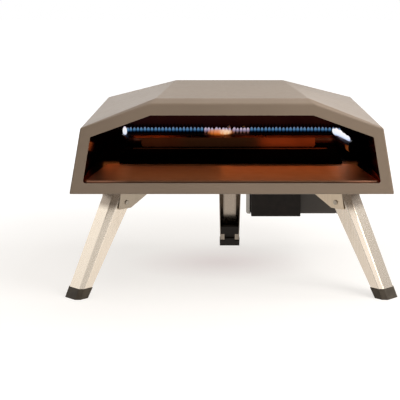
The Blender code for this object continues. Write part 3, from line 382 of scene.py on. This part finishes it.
def glazed(name):
    """White glazed ceramic with faint soot."""
    made = Maker(name)
    soot = made.noise(soot_scale, detail=4)
    made.colour(made.mix(made.spread(soot, 0, soot_share, *soot_band), glaze_white, soot_brown))
    made.roughness(soot, glaze_rough)
    return made.material


halo_full_share = 0.15


def glow(name, low, high, stops, opacity, halo=None):
    """Burning gas: a colour that changes from its foot to its tip, and shines by itself.

    Where halo is given as (centre, reach), it fades away from that centre.
    """
    made = Maker(name)
    hue = made.ramp(made.spread(made.axis("Z"), 0, 1, low, high), stops)
    made.constant("Base Color", (0, 0, 0, 1))
    made.link(hue, made.shader.inputs["Emission Color"])
    made.constant("Emission Strength", 1)
    made.constant("Alpha", opacity)
    if halo:
        fading = made.spread(made.distance(*halo), opacity, 0, halo_full_share, 1)
        made.link(fading, made.shader.inputs["Alpha"])
    made.constant("Roughness", 1)
    made.constant("Specular IOR Level", 0)
    return made.material


# Materials of the CAD nodes

# Painted glow of the fire light: a warm orange zone on the low front of the liner's side walls.
wall_painted_glow = {
    "top": BASE + 0.085,
    "fade": 0.015,
    "out": 0.235,
    "back": -0.08,
    "colour": (0.80, 0.34, 0.14, 1),
}
# Painted glow of the fire light: a lighter orange zone at the landing plate's ends.
plate_painted_glow = {
    "top": BASE + 0.08,
    "fade": 0.05,
    "out": 0.25,
    "back": 0.05,
    "colour": (0.52, 0.25, 0.15, 1),
}
across = (0, math.pi / 2, 0)

taupe = powder_coat("taupe_coat", (0.268, 0.198, 0.140, 1), (0.246, 0.181, 0.127, 1))
grey = powder_coat("grey_coat", (0.060, 0.048, 0.038, 1), (0.047, 0.037, 0.029, 1), grain=1100)
steel = brushed("stainless", (0.39, 0.365, 0.335, 1), (0.30, 0.28, 0.25, 1))
pan_steel = brushed("pan_steel", (0.42, 0.38, 0.34, 1), (0.33, 0.30, 0.27, 1), across)
liner_steel = heated(
    "liner_steel",
    (0.010, 0.002, 0.002, 1),
    (0.014, 0.003, 0.002, 1),
    (0.011, 0.003, 0.004, 1),
    rough=(0.10, 0.17),
    rim=(0.2, 0.07, 0.05, 1),
    ends=wall_painted_glow,
)
plate_steel = heated(
    "plate_steel",
    (0.22, 0.105, 0.060, 1),
    (0.25, 0.125, 0.072, 1),
    (0.225, 0.115, 0.075, 1),
    rough=(0.34, 0.44),
    rim=(1, 0.7, 0.5, 1),
    ends=plate_painted_glow,
)
burner_steel = heated(
    "burner_steel",
    (0.10, 0.034, 0.015, 1),
    (0.15, 0.055, 0.024, 1),
    (0.10, 0.05, 0.05, 1),
)
guard_steel = heated(
    "guard_steel",
    (0.075, 0.026, 0.010, 1),
    (0.10, 0.036, 0.014, 1),
    (0.08, 0.028, 0.014, 1),
    rough=(0.3, 0.4),
)
black_steel = heated(
    "black_steel",
    (0.008, 0.006, 0.005, 1),
    (0.016, 0.012, 0.010, 1),
    (0.010, 0.010, 0.014, 1),
)
black = moulded("black_plastic", (0.010, 0.007, 0.005, 1), (0.016, 0.011, 0.008, 1), specular=0.2)
# One foot plastic in two copies: lighter on the front feet where light falls and darker on the rear foot
# in the shade under the hood, as painted light and shade.
lit_foot_black = moulded("foot_plastic", (0.056, 0.044, 0.031, 1), (0.082, 0.065, 0.048, 1), specular=0.25)
shaded_rear_foot_black = moulded(
    "shaded_rear_foot_plastic",
    (0.012, 0.008, 0.005, 1),
    (0.018, 0.012, 0.008, 1),
    specular=0.2,
)
wrap = moulded("cell_wrap", (0.03, 0.03, 0.03, 1), (0.05, 0.05, 0.05, 1), grain=400, rough=(0.2, 0.3))
stone = fired_stone("baking_stone")
wool = felt("ceramic_wool", (0.82, 0.80, 0.75, 1), (0.62, 0.60, 0.55, 1))
brass = turned_metal("brass", (0.66, 0.48, 0.20, 1), (0.50, 0.35, 0.13, 1))
bright = turned_metal("bright_steel", (0.70, 0.67, 0.62, 1), (0.5, 0.47, 0.43, 1))
pin_steel = turned_metal("pin_steel", (0.42, 0.37, 0.31, 1), (0.30, 0.26, 0.21, 1))
ceramic = glazed("ceramic")
mark_paint = moulded("mark_paint", (0.62, 0.60, 0.56, 1), (0.72, 0.70, 0.66, 1), grain=900)

looks = {
    taupe: ("hood_shell",),
    grey: ("control_housing",),
    pan_steel: ("base_pan",),
    liner_steel: ("inner_liner",),
    black_steel: (
        "floor_tray",
        "burner_cap_left",
        "burner_cap_right",
        "burner_cradle_left",
        "burner_cradle_right",
    ),
    plate_steel: ("landing_plate",),
    burner_steel: ("burner_tube", "mixing_tube"),
    guard_steel: ("stone_stop", "burner_guard"),
    stone: ("baking_stone",),
    wool: ("insulation_blanket", "floor_insulation"),
    steel: ("housing_bracket_left", "housing_bracket_right"),
    bright: ("valve_spindle", "igniter_electrode"),
    pin_steel: tuple(f"leg_pin_{name}" for name in LEGS),
    brass: ("gas_jet", "valve_body", "valve_plunger", "gas_inlet", "gas_feed_pipe", "flame_probe"),
    ceramic: ("igniter_insulator",),
    black: ("battery_box", "battery_cover", "control_knob"),
    lit_foot_black: ("foot_front_left", "foot_front_right"),
    shaded_rear_foot_black: ("foot_rear",),
    wrap: ("battery_cell_1", "battery_cell_2"),
}


def wear(node, material):
    """Gives a CAD node this one material."""
    item = nodes[node]
    item.data.materials.clear()
    item.data.materials.append(material)


for material, names in looks.items():
    for node in names:
        wear(node, material)


# Legs and their brackets, each in its own tones for the light that falls on it there, which are painted
# light and shade. A leg's brushing runs along it

splay = math.radians(27.3)
leg_turns = {"front_left": -45, "front_right": 45, "rear": 180}
# Painted light and shade: one steel, lighter on the lit front-left leg, darker on the front-right one,
# darkest on the rear leg under the hood.
leg_painted_light_tones = {
    "front_left": ((0.90, 0.80, 0.68, 1), (0.81, 0.71, 0.59, 1)),
    "front_right": ((0.77, 0.68, 0.58, 1), (0.69, 0.60, 0.50, 1)),
    "rear": ((0.50, 0.43, 0.35, 1), (0.42, 0.36, 0.29, 1)),
}
# The brackets' tones are painted light and shade in the same way.
bracket_painted_light_tones = {
    "front_left": ((0.44, 0.37, 0.29, 1), (0.38, 0.32, 0.25, 1)),
    "front_right": ((0.62, 0.51, 0.39, 1), (0.54, 0.44, 0.33, 1)),
    "rear": ((0.30, 0.26, 0.22, 1), (0.25, 0.22, 0.18, 1)),
}
leg_rough = (0.22, 0.30)
leg_relief = 0.02
bracket_turn = (0, 0, 0.8)
bracket_rough = (0.3, 0.42)
# Painted shade and reflection: the rear leg's folded sides are darker past |x|.
rear_sides_painted_shade = (0.010, 0.0165, (0.30, 0.255, 0.21, 1))
# Painted shade of the hood's shadow and reflection: the front legs are darker just under the hood.
front_top_painted_shade = (BASE - 0.052, BASE - 0.040, (0.36, 0.30, 0.245, 1))

for name in LEGS:
    about = math.radians(leg_turns[name])
    to_leg = (Matrix.Rotation(about, 4, "Z") @ Matrix.Rotation(-splay, 4, "X")).inverted().to_euler()
    leg_steel_painted_light = brushed(
        f"leg_steel_painted_light_{name}",
        *leg_painted_light_tones[name],
        tuple(to_leg),
        leg_rough,
        leg_relief,
        sides=rear_sides_painted_shade if name == "rear" else None,
        top=None if name == "rear" else front_top_painted_shade,
    )
    wear(f"leg_{name}", leg_steel_painted_light)
    bracket_steel_painted_light = brushed(f"bracket_steel_painted_light_{name}", *bracket_painted_light_tones[name], bracket_turn, bracket_rough)
    wear(f"leg_bracket_{name}", bracket_steel_painted_light)


# Pieces


def piece(name, shape, body, material, smooth=True):
    """Turns a shape into an object that rides on the body."""
    mesh = bpy.data.meshes.new(name)
    shape.to_mesh(mesh)
    shape.free()
    if smooth:
        mesh.shade_smooth()
    item = bpy.data.objects.new(name, mesh)
    bpy.context.scene.collection.objects.link(item)
    mesh.materials.append(material)
    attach(item, body)


def ring_of(shape, setting, radius, height, steps):
    """The vertices of one ring, or the single one of a tip."""
    if radius == 0:
        return [shape.verts.new(setting @ Vector((0, 0, height)))]
    turns = [2 * math.pi * step / steps for step in range(steps)]
    return [
        shape.verts.new(setting @ Vector((radius * math.cos(turn), radius * math.sin(turn), height)))
        for turn in turns
    ]


def add_turned(shape, setting, profile, steps):
    """A closed turned form from (radius, height) points; the z of its setting is its axis."""
    rings = [ring_of(shape, setting, radius, height, steps) for radius, height in profile]
    for lower, upper in zip(rings[:-1], rings[1:]):
        for step in range(steps):
            after = (step + 1) % steps
            if len(lower) == 1:
                shape.faces.new((lower[0], upper[after], upper[step]))
            elif len(upper) == 1:
                shape.faces.new((lower[step], lower[after], upper[0]))
            else:
                shape.faces.new((lower[step], lower[after], upper[after], upper[step]))


def facing(place, direction):
    """A setting at the place with its z along the direction."""
    turn = Vector(direction).to_track_quat("Z", "Y").to_matrix().to_4x4()
    return Matrix.Translation(place) @ turn


# Burner: where its ports lie, as in the CAD part

burner_back = 0.425
burner_level = 0.0481
burner_radius = 0.015
burner_corner = 0.252
flare = math.radians(9.7)
bend = 0.036
bend_steps = 7
most_of_arm_share = 0.98
right_reach = 0.127
left_reach = 0.0405
left_inset = 0.0115
port_pitch = 0.0081
port_margin = 0.012


def burner_path():
    """The tube's centre line as (x, depth): the right arm, the rear run and the left arm."""
    spread = math.sin(flare)
    forward = math.cos(flare)
    corners = [
        (burner_corner + right_reach * spread, burner_back - right_reach * forward),
        (burner_corner, burner_back),
        (left_inset - burner_corner, burner_back),
        (left_inset - burner_corner - left_reach * spread, burner_back - left_reach * forward),
    ]
    points = [Vector(corners[0])]
    for index in (1, 2):
        here = Vector(corners[index])
        before = (Vector(corners[index - 1]) - here).normalized()
        after = (Vector(corners[index + 1]) - here).normalized()
        half = before.angle(after) / 2
        reach = min(bend / math.tan(half), left_reach * most_of_arm_share)
        radius = reach * math.tan(half)
        centre = here + (before + after).normalized() * radius / math.sin(half)
        start = here + before * reach - centre
        end = here + after * reach - centre
        first = math.atan2(start.y, start.x)
        swing = math.atan2(start.x * end.y - start.y * end.x, start.dot(end))
        for step in range(bend_steps + 1):
            turn = first + swing * step / bend_steps
            points.append(centre + Vector((math.cos(turn), math.sin(turn))) * radius)
    points.append(Vector(corners[3]))
    return points


def ports():
    """The ports' places along the tube, one pitch apart."""
    points = burner_path()
    length = sum((after - here).length for here, after in zip(points[:-1], points[1:]))
    places = []
    walked = 0
    target = port_margin
    for here, after in zip(points[:-1], points[1:]):
        reach = (after - here).length
        while target <= walked + reach and target <= length - port_margin:
            places.append(here + (after - here) * (target - walked) / reach)
            target += port_pitch
        walked += reach
    return places


def on_an_arm(depth):
    return depth < burner_back - bend / 2


igniter_left = -0.060
igniter_right = 0.048


def by_the_igniter(x, depth):
    return igniter_left < x < igniter_right and not on_an_arm(depth)


# Flames: one over each port

flame_sink = 0.0005
flame_low = burner_level + burner_radius - flame_sink
flame_high = 0.0772
flame_height = flame_high - flame_low
flame_profile = (
    (0, 0),
    (0.0014, 0.05),
    (0.0028, 0.25),
    (0.0033, 0.5),
    (0.0028, 0.75),
    (0.0015, 0.93),
    (0, 1.0),
)
flame_steps = 8


def tongue(shape, place, lean, height, wide=1.0):
    """One flame: a slim drop that leans along the given direction."""
    profile = [(radius * wide, share * height) for radius, share in flame_profile]
    add_turned(shape, facing(place, lean), profile, flame_steps)


flame_seed = 4
flame_least = 0.92
flame_play = 0.08
flame_lean_x = (-0.04, 0.04)
flame_lean_y = (-0.05, 0.01)
flame_stops = (
    (0.25, (0.0, 0.001, 0.004, 1)),
    (0.42, (0.012, 0.05, 0.12, 1)),
    (0.58, (0.07, 0.19, 0.36, 1)),
    (0.75, (0.09, 0.20, 0.35, 1)),
    (1.0, (0.20, 0.20, 0.31, 1)),
)


def make_flames():
    """The even row of short blue flames on the burner's rear run."""
    chance = random.Random(flame_seed)
    shape = bmesh.new()
    for x, depth in ports():
        if on_an_arm(depth) or by_the_igniter(x, depth):
            continue
        height = flame_height * (flame_least + flame_play * chance.random())
        lean = Vector((chance.uniform(*flame_lean_x), chance.uniform(*flame_lean_y), 1))
        tongue(shape, at(x, depth, flame_low), lean, height)
    gas = glow("gas_flame", BASE + flame_low, BASE + flame_high, flame_stops, opacity=0.8)
    piece("gas_flames", shape, ROOT, gas)


arm_seed = 8
arm_start_in = {"right": 0.010, "left": 0.0046}
arm_start_up = 0.0115
arm_lean = {"right": 0.55, "left": -0.02}
arm_lean_shares = (0.8, 1.2)
arm_lean_y = (-0.2, 0.1)
arm_flame = 0.021
arm_flame_shares = (0.85, 1.1)
arm_widths = {"right": (0.9, 1.75), "left": (1.5, 1.5)}
arm_front_share = 0.75
arm_growth_share = 0.3
arm_stops = (
    (0.0, (0.35, 0.45, 0.75, 1)),
    (0.3, (0.85, 0.90, 1.0, 1)),
    (0.75, (1.0, 0.98, 0.97, 1)),
    (1.0, (0.70, 0.62, 0.80, 1)),
)


def make_arm_flames():
    """The whiter flames of the two forward arms, wider and taller towards the rear."""
    chance = random.Random(arm_seed)
    shape = bmesh.new()
    for x, depth in ports():
        if not on_an_arm(depth):
            continue
        side, inward = ("right", -1) if x > 0 else ("left", 1)
        place = at(x + inward * arm_start_in[side], depth, burner_level + arm_start_up)
        sideways = inward * arm_lean[side] * chance.uniform(*arm_lean_shares)
        lean = Vector((sideways, chance.uniform(*arm_lean_y), 1))
        front_width, back_width = arm_widths[side]
        back = 1 - (burner_back - depth) / right_reach
        wide = front_width + (back_width - front_width) * back
        height = arm_flame * chance.uniform(*arm_flame_shares)
        tongue(shape, place, lean, height * (arm_front_share + arm_growth_share * back), wide)
    low = BASE + burner_level + arm_start_up
    gas = glow("arm_flame", low, low + arm_flame, arm_stops, opacity=0.8)
    piece("arm_flames", shape, ROOT, gas)


igniter_seed = 11
igniter_forward = 0.002
igniter_height_shares = (0.86, 1.0)
igniter_width_shares = (0.95, 1.25)
igniter_lean_x = (-0.12, 0.12)
igniter_lean_y = (-0.15, 0)
igniter_stops = (
    (0.2, (0.14, 0.06, 0.05, 1)),
    (0.45, (0.26, 0.22, 0.34, 1)),
    (0.7, (0.56, 0.46, 0.60, 1)),
    (0.85, (0.50, 0.40, 0.52, 1)),
    (1.0, (0.20, 0.16, 0.24, 1)),
)


def make_igniter_flames():
    """The paler and less even flames round the igniter's tip."""
    chance = random.Random(igniter_seed)
    shape = bmesh.new()
    for x, depth in ports():
        if not by_the_igniter(x, depth):
            continue
        height = flame_height * chance.uniform(*igniter_height_shares)
        lean = Vector((chance.uniform(*igniter_lean_x), chance.uniform(*igniter_lean_y), 1))
        place = at(x, depth - igniter_forward, flame_low)
        tongue(shape, place, lean, height, chance.uniform(*igniter_width_shares))
    gas = glow("igniter_gas", BASE + flame_low, BASE + flame_high, igniter_stops, opacity=0.7)
    piece("igniter_flames", shape, ROOT, gas)


# The flare in front of the tube. Each of its tongues has a place along the tube and a width

glow_foot = 0.0545
glow_tip = 0.0745
glow_depth = 0.405
glow_lean = Vector((0.1, 0, 1))

rim_tongues = (
    (-0.046, 2.0),
    (-0.038, 2.4),
    (-0.030, 2.5),
    (-0.022, 2.5),
    (-0.013, 2.5),
    (-0.004, 2.4),
    (0.005, 2.2),
)
rim_stops = (
    (0.0, (0.24, 0.03, 0.002, 1)),
    (0.5, (0.70, 0.17, 0.02, 1)),
    (1.0, (0.75, 0.36, 0.22, 1)),
)
rim_halo = (at(-0.024, glow_depth, 0.0690), (0.036, 1, 0.0105))

heart_tongues = ((-0.024, 1.6), (-0.0165, 1.9), (-0.009, 1.8), (-0.002, 1.4))
heart_stops = (
    (0.0, (0.90, 0.36, 0.08, 1)),
    (0.4, (1.0, 0.74, 0.40, 1)),
    (1.0, (1.0, 0.86, 0.74, 1)),
)
heart_halo = (at(-0.0115, glow_depth, 0.0682), (0.017, 1, 0.0066))


def make_glow(name, tongues, stops, opacity, halo):
    """One shell of the flare."""
    shape = bmesh.new()
    for x, wide in tongues:
        tongue(shape, at(x, glow_depth, glow_foot), glow_lean, glow_tip - glow_foot, wide)
    fire = glow(name + "_gas", BASE + glow_foot, BASE + glow_tip, stops, opacity, halo)
    piece(name, shape, ROOT, fire)


def make_flare():
    """The orange flare where the igniter's tip glows, with a pale heart."""
    make_glow("flare_rim", rim_tongues, rim_stops, opacity=0.55, halo=rim_halo)
    make_glow("flare_heart", heart_tongues, heart_stops, opacity=1.0, halo=heart_halo)


make_flames()
make_arm_flames()
make_igniter_flames()
make_flare()


# Screws, placed on the CAD sheets by rays

screw_radius = 0.0032
screw_sink = 0.0008
screw_height = screw_radius * 0.6
screw_head_shares = ((1, 0.45), (0.82, 0.85), (0.55, 1), (0.42, 1), (0.36, 0.45), (0, 0.45))
screw_steps = 18


def screws(name, places):
    """Button-head screws with a socket, each given by its place on the sheet and the way out of it."""
    profile = [(0, -screw_sink), (screw_radius, -screw_sink)]
    profile += [(screw_radius * out, screw_height * up) for out, up in screw_head_shares]
    shape = bmesh.new()
    for place, out in places:
        add_turned(shape, facing(place, out), profile, screw_steps)
    piece(name, shape, ROOT, bright)


def surface_of(node):
    """A tree of the node's faces in world places, for rays."""
    item = nodes[node]
    points = [item.matrix_world @ vert.co for vert in item.data.vertices]
    return BVHTree.FromPolygons(points, [tuple(face.vertices) for face in item.data.polygons])


def on_surface(tree, starts, direction):
    """Where rays from these places meet the sheet, with the way out of it."""
    found = []
    for start in starts:
        place, normal, _, _ = tree.ray_cast(start, Vector(direction))
        if place is not None:
            found.append((place, normal if normal.dot(Vector(direction)) < 0 else -normal))
    return found


housing_inset = 0.020
housing_top_inset = 0.030
ray_start_aside = 0.5
ray_start_below = -0.1
rear_screw_places = ((0.283, 0.028), (0.272, 0.098), (0.150, 0.132), (0.150, 0.022))
base_screw_places = ((0.296, 0.040), (0.296, 0.290), (0.296, 0.540), (0.110, 0.018), (0.240, 0.560))


def make_screws():
    """Screws of the housing's end brackets, the hood's rear wall and the base, alike on both sides."""
    low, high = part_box("control_housing")
    heights = (low.z + housing_inset, high.z - housing_top_inset)
    depths = (low.y + housing_inset, high.y - housing_inset)
    for side, sign in SIDES:
        starts = [Vector((sign * ray_start_aside, y, z)) for y in depths for z in heights]
        bracket = surface_of(f"housing_bracket_{side}")
        screws(f"housing_screws_{side}", on_surface(bracket, starts, (-sign, 0, 0)))
    starts = [
        Vector((sign * x, DEPTH, BASE + height)) for x, height in rear_screw_places for sign in (-1, 1)
    ]
    screws("rear_screws", on_surface(surface_of("hood_shell"), starts, (0, -1, 0)))
    starts = [at(sign * x, depth, ray_start_below) for x, depth in base_screw_places for sign in (-1, 1)]
    screws("base_screws", on_surface(surface_of("base_pan"), starts, (0, 0, 1)))


knob_x = 0.14
knob_drop = 0.068
mark_low = 0.0035
mark_high = 0.0120
mark_width = 0.0016
mark_rise = 0.0003
mark_edge = 0.0002


def make_knob_mark():
    """A raised pale line on the knob's grip that shows how far it is turned."""
    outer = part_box("control_knob")[1].y
    shape = bmesh.new()
    bmesh.ops.create_cube(shape, size=1)
    size = (mark_width, 2 * mark_rise, mark_high - mark_low)
    bmesh.ops.scale(shape, vec=size, verts=shape.verts)
    bmesh.ops.bevel(shape, geom=shape.edges[:], offset=mark_edge, segments=2, affect="EDGES")
    centre = Vector((knob_x, outer, BASE - knob_drop + (mark_low + mark_high) / 2))
    bmesh.ops.translate(shape, vec=centre, verts=shape.verts)
    piece("knob_mark", shape, "knob", mark_paint, smooth=False)


make_screws()
make_knob_mark()


# Floor: it keeps the oven's shadow, is a touch darker near it, and has a painted shadow under the oven's
# middle

floor_half = 14
floor_near = (0.75, 0.728, 0.702, 1)
# A painted shadow: a darker, pinker spot on the floor under the oven's middle.
floor_painted_shadow = (0.63, 0.578, 0.565, 1)
painted_shadow_place = (-0.02, 0.06, 0)
painted_shadow_reach = (0.22, 0.16, 1)
painted_shadow_full_share = 0.1
floor_far = (1.02, 1.02, 1.02, 1)
floor_near_reach = 0.45
floor_far_reach = 1.6
floor_seen_albedo = (0.36, 0.36, 0.36, 1)
floor_albedo = (0.8, 0.78, 0.76, 1)


def floor_material():
    """Plain where light falls on it; to the camera and in mirrors it also shines, darker in a painted
    shadow under the oven's middle, and is white far out.
    """
    made = Maker("floor_white")
    share = made.spread(made.distance(), 0, 1, floor_near_reach, floor_far_reach)
    # The painted shadow under the oven's middle.
    heart = made.spread(made.distance(painted_shadow_place, painted_shadow_reach), 1, 0, painted_shadow_full_share, 1)
    near = made.mix(heart, floor_near, floor_painted_shadow)
    seen = made.any_ray("Is Camera Ray", "Is Glossy Ray", "Is Transmission Ray")
    diffuse = made.add("ShaderNodeBsdfDiffuse")
    made.link(made.mix(seen, floor_albedo, floor_seen_albedo), diffuse.inputs["Color"])
    shine = made.add("ShaderNodeEmission")
    made.link(made.mix(share, near, floor_far), shine.inputs["Color"])
    made.link(seen, shine.inputs["Strength"])
    total = made.add("ShaderNodeAddShader")
    made.link(diffuse.outputs["BSDF"], total.inputs[0])
    made.link(shine.outputs["Emission"], total.inputs[1])
    made.link(total.outputs["Shader"], made.output.inputs["Surface"])
    return made.material


def make_floor():
    """A square of floor, its middle under the oven."""
    shape = bmesh.new()
    corners = (
        (-floor_half, -floor_half),
        (floor_half, -floor_half),
        (floor_half, floor_half),
        (-floor_half, floor_half),
    )
    shape.faces.new([shape.verts.new((x, y, 0)) for x, y in corners])
    mesh = bpy.data.meshes.new("floor")
    shape.to_mesh(mesh)
    shape.free()
    floor = bpy.data.objects.new("floor", mesh)
    bpy.context.scene.collection.objects.link(floor)
    mesh.materials.append(floor_material())


make_floor()


# World: how bright it is for light, for mirrors by their direction, and for the camera

ambient = 0.10
ambient_colour = (1, 0.985, 0.965, 1)
room_colour = (1, 0.99, 0.975, 1)
room_level = 1.0
room_changes = (
    ("Y", -1, -0.36),
    ("Y", 1, -0.20),
    ("X", 1, -0.26),
    ("X", -1, 0.03),
)


def background(made, colour, strength):
    node = made.add("ShaderNodeBackground")
    node.inputs["Color"].default_value = colour
    made.feed(node.inputs["Strength"], strength)
    return node.outputs["Background"]


def chosen(made, factor, first, second):
    node = made.add("ShaderNodeMixShader")
    made.link(factor, node.inputs["Fac"])
    made.link(first, node.inputs[1])
    made.link(second, node.inputs[2])
    return node.outputs["Shader"]


def make_world():
    """White to the camera, faint as light, and in mirrors dimmer in front, behind and to the right."""
    world = bpy.data.worlds.new("studio")
    bpy.context.scene.world = world
    world.use_nodes = True
    made = Nodes(world.node_tree)
    made.tree.nodes.clear()
    output = made.add("ShaderNodeOutputWorld")
    soft = background(made, ambient_colour, ambient)
    white = background(made, (1, 1, 1, 1), 1)
    place = made.add("ShaderNodeTexCoord")
    axes = made.add("ShaderNodeSeparateXYZ")
    made.link(place.outputs["Generated"], axes.inputs["Vector"])
    level = room_level
    for axis, end, change in room_changes:
        level = made.math("ADD", made.spread(axes.outputs[axis], 0, change, 0, end), level)
    room = background(made, room_colour, level)
    mirrored = chosen(made, made.any_ray("Is Glossy Ray"), soft, room)
    direct = made.any_ray("Is Camera Ray", "Is Transmission Ray")
    made.link(chosen(made, direct, mirrored, white), output.inputs["Surface"])


make_world()


# Lamps: each has its place, what it faces, its size, its power in watts and its colour

white_light = (1, 1, 1)
middle = (0, 0, 0.3)
room_lamps = {
    "top": ((0, 0.2, 2.8), middle, 2.2, 26, (1, 0.97, 0.94)),
    "key_right": ((1.3, -1.1, 1.5), (0, -0.29, 0.3), 1.3, 33, (1, 0.97, 0.93)),
    "high_right": ((2.3, 0.4, 2.0), middle, 1.2, 12, white_light),
    "back_left": ((-2.4, 1.2, 1.6), middle, 1.4, 7.0, (1, 0.98, 0.95)),
    "rim_left": ((-0.8, 3.0, 0.65), middle, 0.8, 2.0, white_light),
    "rim_right": ((0.9, 3.0, 0.65), middle, 0.8, 2.2, white_light),
    "front_right": ((0.42, -2.4, 1.15), (0.3, -0.1, 0.1), 0.6, 1.45, (1, 0.96, 0.92)),
}

fire_colour = (1, 0.26, 0.06)
steel_glow = (1, 0.62, 0.42)
side_glow = (1, 0.45, 0.22)
strip_width = 0.02

# Strips of fire light: the last value of each is the angle that it spreads over, in degrees

chamber_lamps = {
    "fire": (at(0, 0.330, 0.040), at(0, 0.15, 0.025), 0.56, 0.009, fire_colour, 100),
    "fire_right": (at(0.11, 0.330, 0.041), at(0.11, 0.15, 0.025), 0.26, 0.014, fire_colour, 100),
    "fire_up": (at(0, burner_back, 0.082), at(0, burner_back, 0.2), 0.44, 0.008, fire_colour, 160),
    "fire_front": (at(0, 0.30, 0.11), at(0, 0.06, 0.025), 0.50, 0.023, steel_glow, 110),
}
burner_lamps = {
    "guard_right": (at(0.155, 0.345, 0.036), at(0.155, 0.409, 0.045), 0.17, 0.015, fire_colour, 120),
    "guard_left": (at(-0.16, 0.345, 0.036), at(-0.16, 0.409, 0.045), 0.10, 0.0008, fire_colour, 120),
    "tube_right": (at(0.13, 0.330, 0.135), at(0.13, burner_back, 0.055), 0.22, 0.034, fire_colour, 120),
    "tube_left": (at(-0.18, 0.330, 0.135), at(-0.18, burner_back, 0.055), 0.10, 0.030, fire_colour, 120),
}

# Lamps by the right side wall, which the left side mirrors. Their places are as at() takes them

end_lamp_values = {
    "corner": ((0.245, 0.265, 0.055), (0.258, 0.10, 0.050), 0.05, 0.0008, 0.05),
    "wall": ((0.262, 0.205, 0.050), (0.268, 0.10, 0.048), 0.024, 0.0003, 0.045),
}


def lamp(name, place, target, size, power, colour, second_size=None):
    """A square lamp, or an oblong one where a second size is given. The camera doesn't see it."""
    data = bpy.data.lights.new(name, "AREA")
    data.shape = "RECTANGLE" if second_size else "SQUARE"
    data.size = size
    if second_size:
        data.size_y = second_size
    data.energy = power
    data.color = colour
    item = bpy.data.objects.new(name, data)
    bpy.context.scene.collection.objects.link(item)
    item.location = place
    item.rotation_euler = (Vector(target) - Vector(place)).to_track_quat("-Z", "Y").to_euler()
    item.visible_camera = False
    return item


def fire_lamps(lamps):
    for name, (place, target, size, power, colour, spread) in lamps.items():
        made = lamp(name, place, target, size, power, colour, strip_width)
        made.data.spread = math.radians(spread)


def end_lamps():
    """Small lamps by both side walls, for the plate's ends and the foot of the walls."""
    for side, sign in SIDES:
        for kind, (place, target, size, power, second_size) in end_lamp_values.items():
            start = at(sign * place[0], *place[1:])
            end = at(sign * target[0], *target[1:])
            lamp(f"{kind}_{side}", start, end, size, power, side_glow, second_size)


for name, values in room_lamps.items():
    lamp(name, *values)
fire_lamps(chamber_lamps)
end_lamps()
fire_lamps(burner_lamps)


# Camera: solved on the hood's corners in the photo

focal_pixels = 1174.6
frame_pixels = 400
sensor_width = 36
camera_place = (-0.0224, -2.526, 0.6407)
degrees_below_level = 10.89
camera_shift = -0.0506
camera_far = 100


def make_camera():
    data = bpy.data.cameras.new("camera")
    camera = bpy.data.objects.new("camera", data)
    bpy.context.scene.collection.objects.link(camera)
    bpy.context.scene.camera = camera
    data.sensor_width = sensor_width
    data.lens = focal_pixels / frame_pixels * sensor_width
    data.shift_x = camera_shift
    data.clip_end = camera_far
    camera.location = camera_place
    camera.rotation_euler = (math.radians(90 - degrees_below_level), 0, 0)


make_camera()

bpy.context.scene.view_settings.view_transform = "Standard"
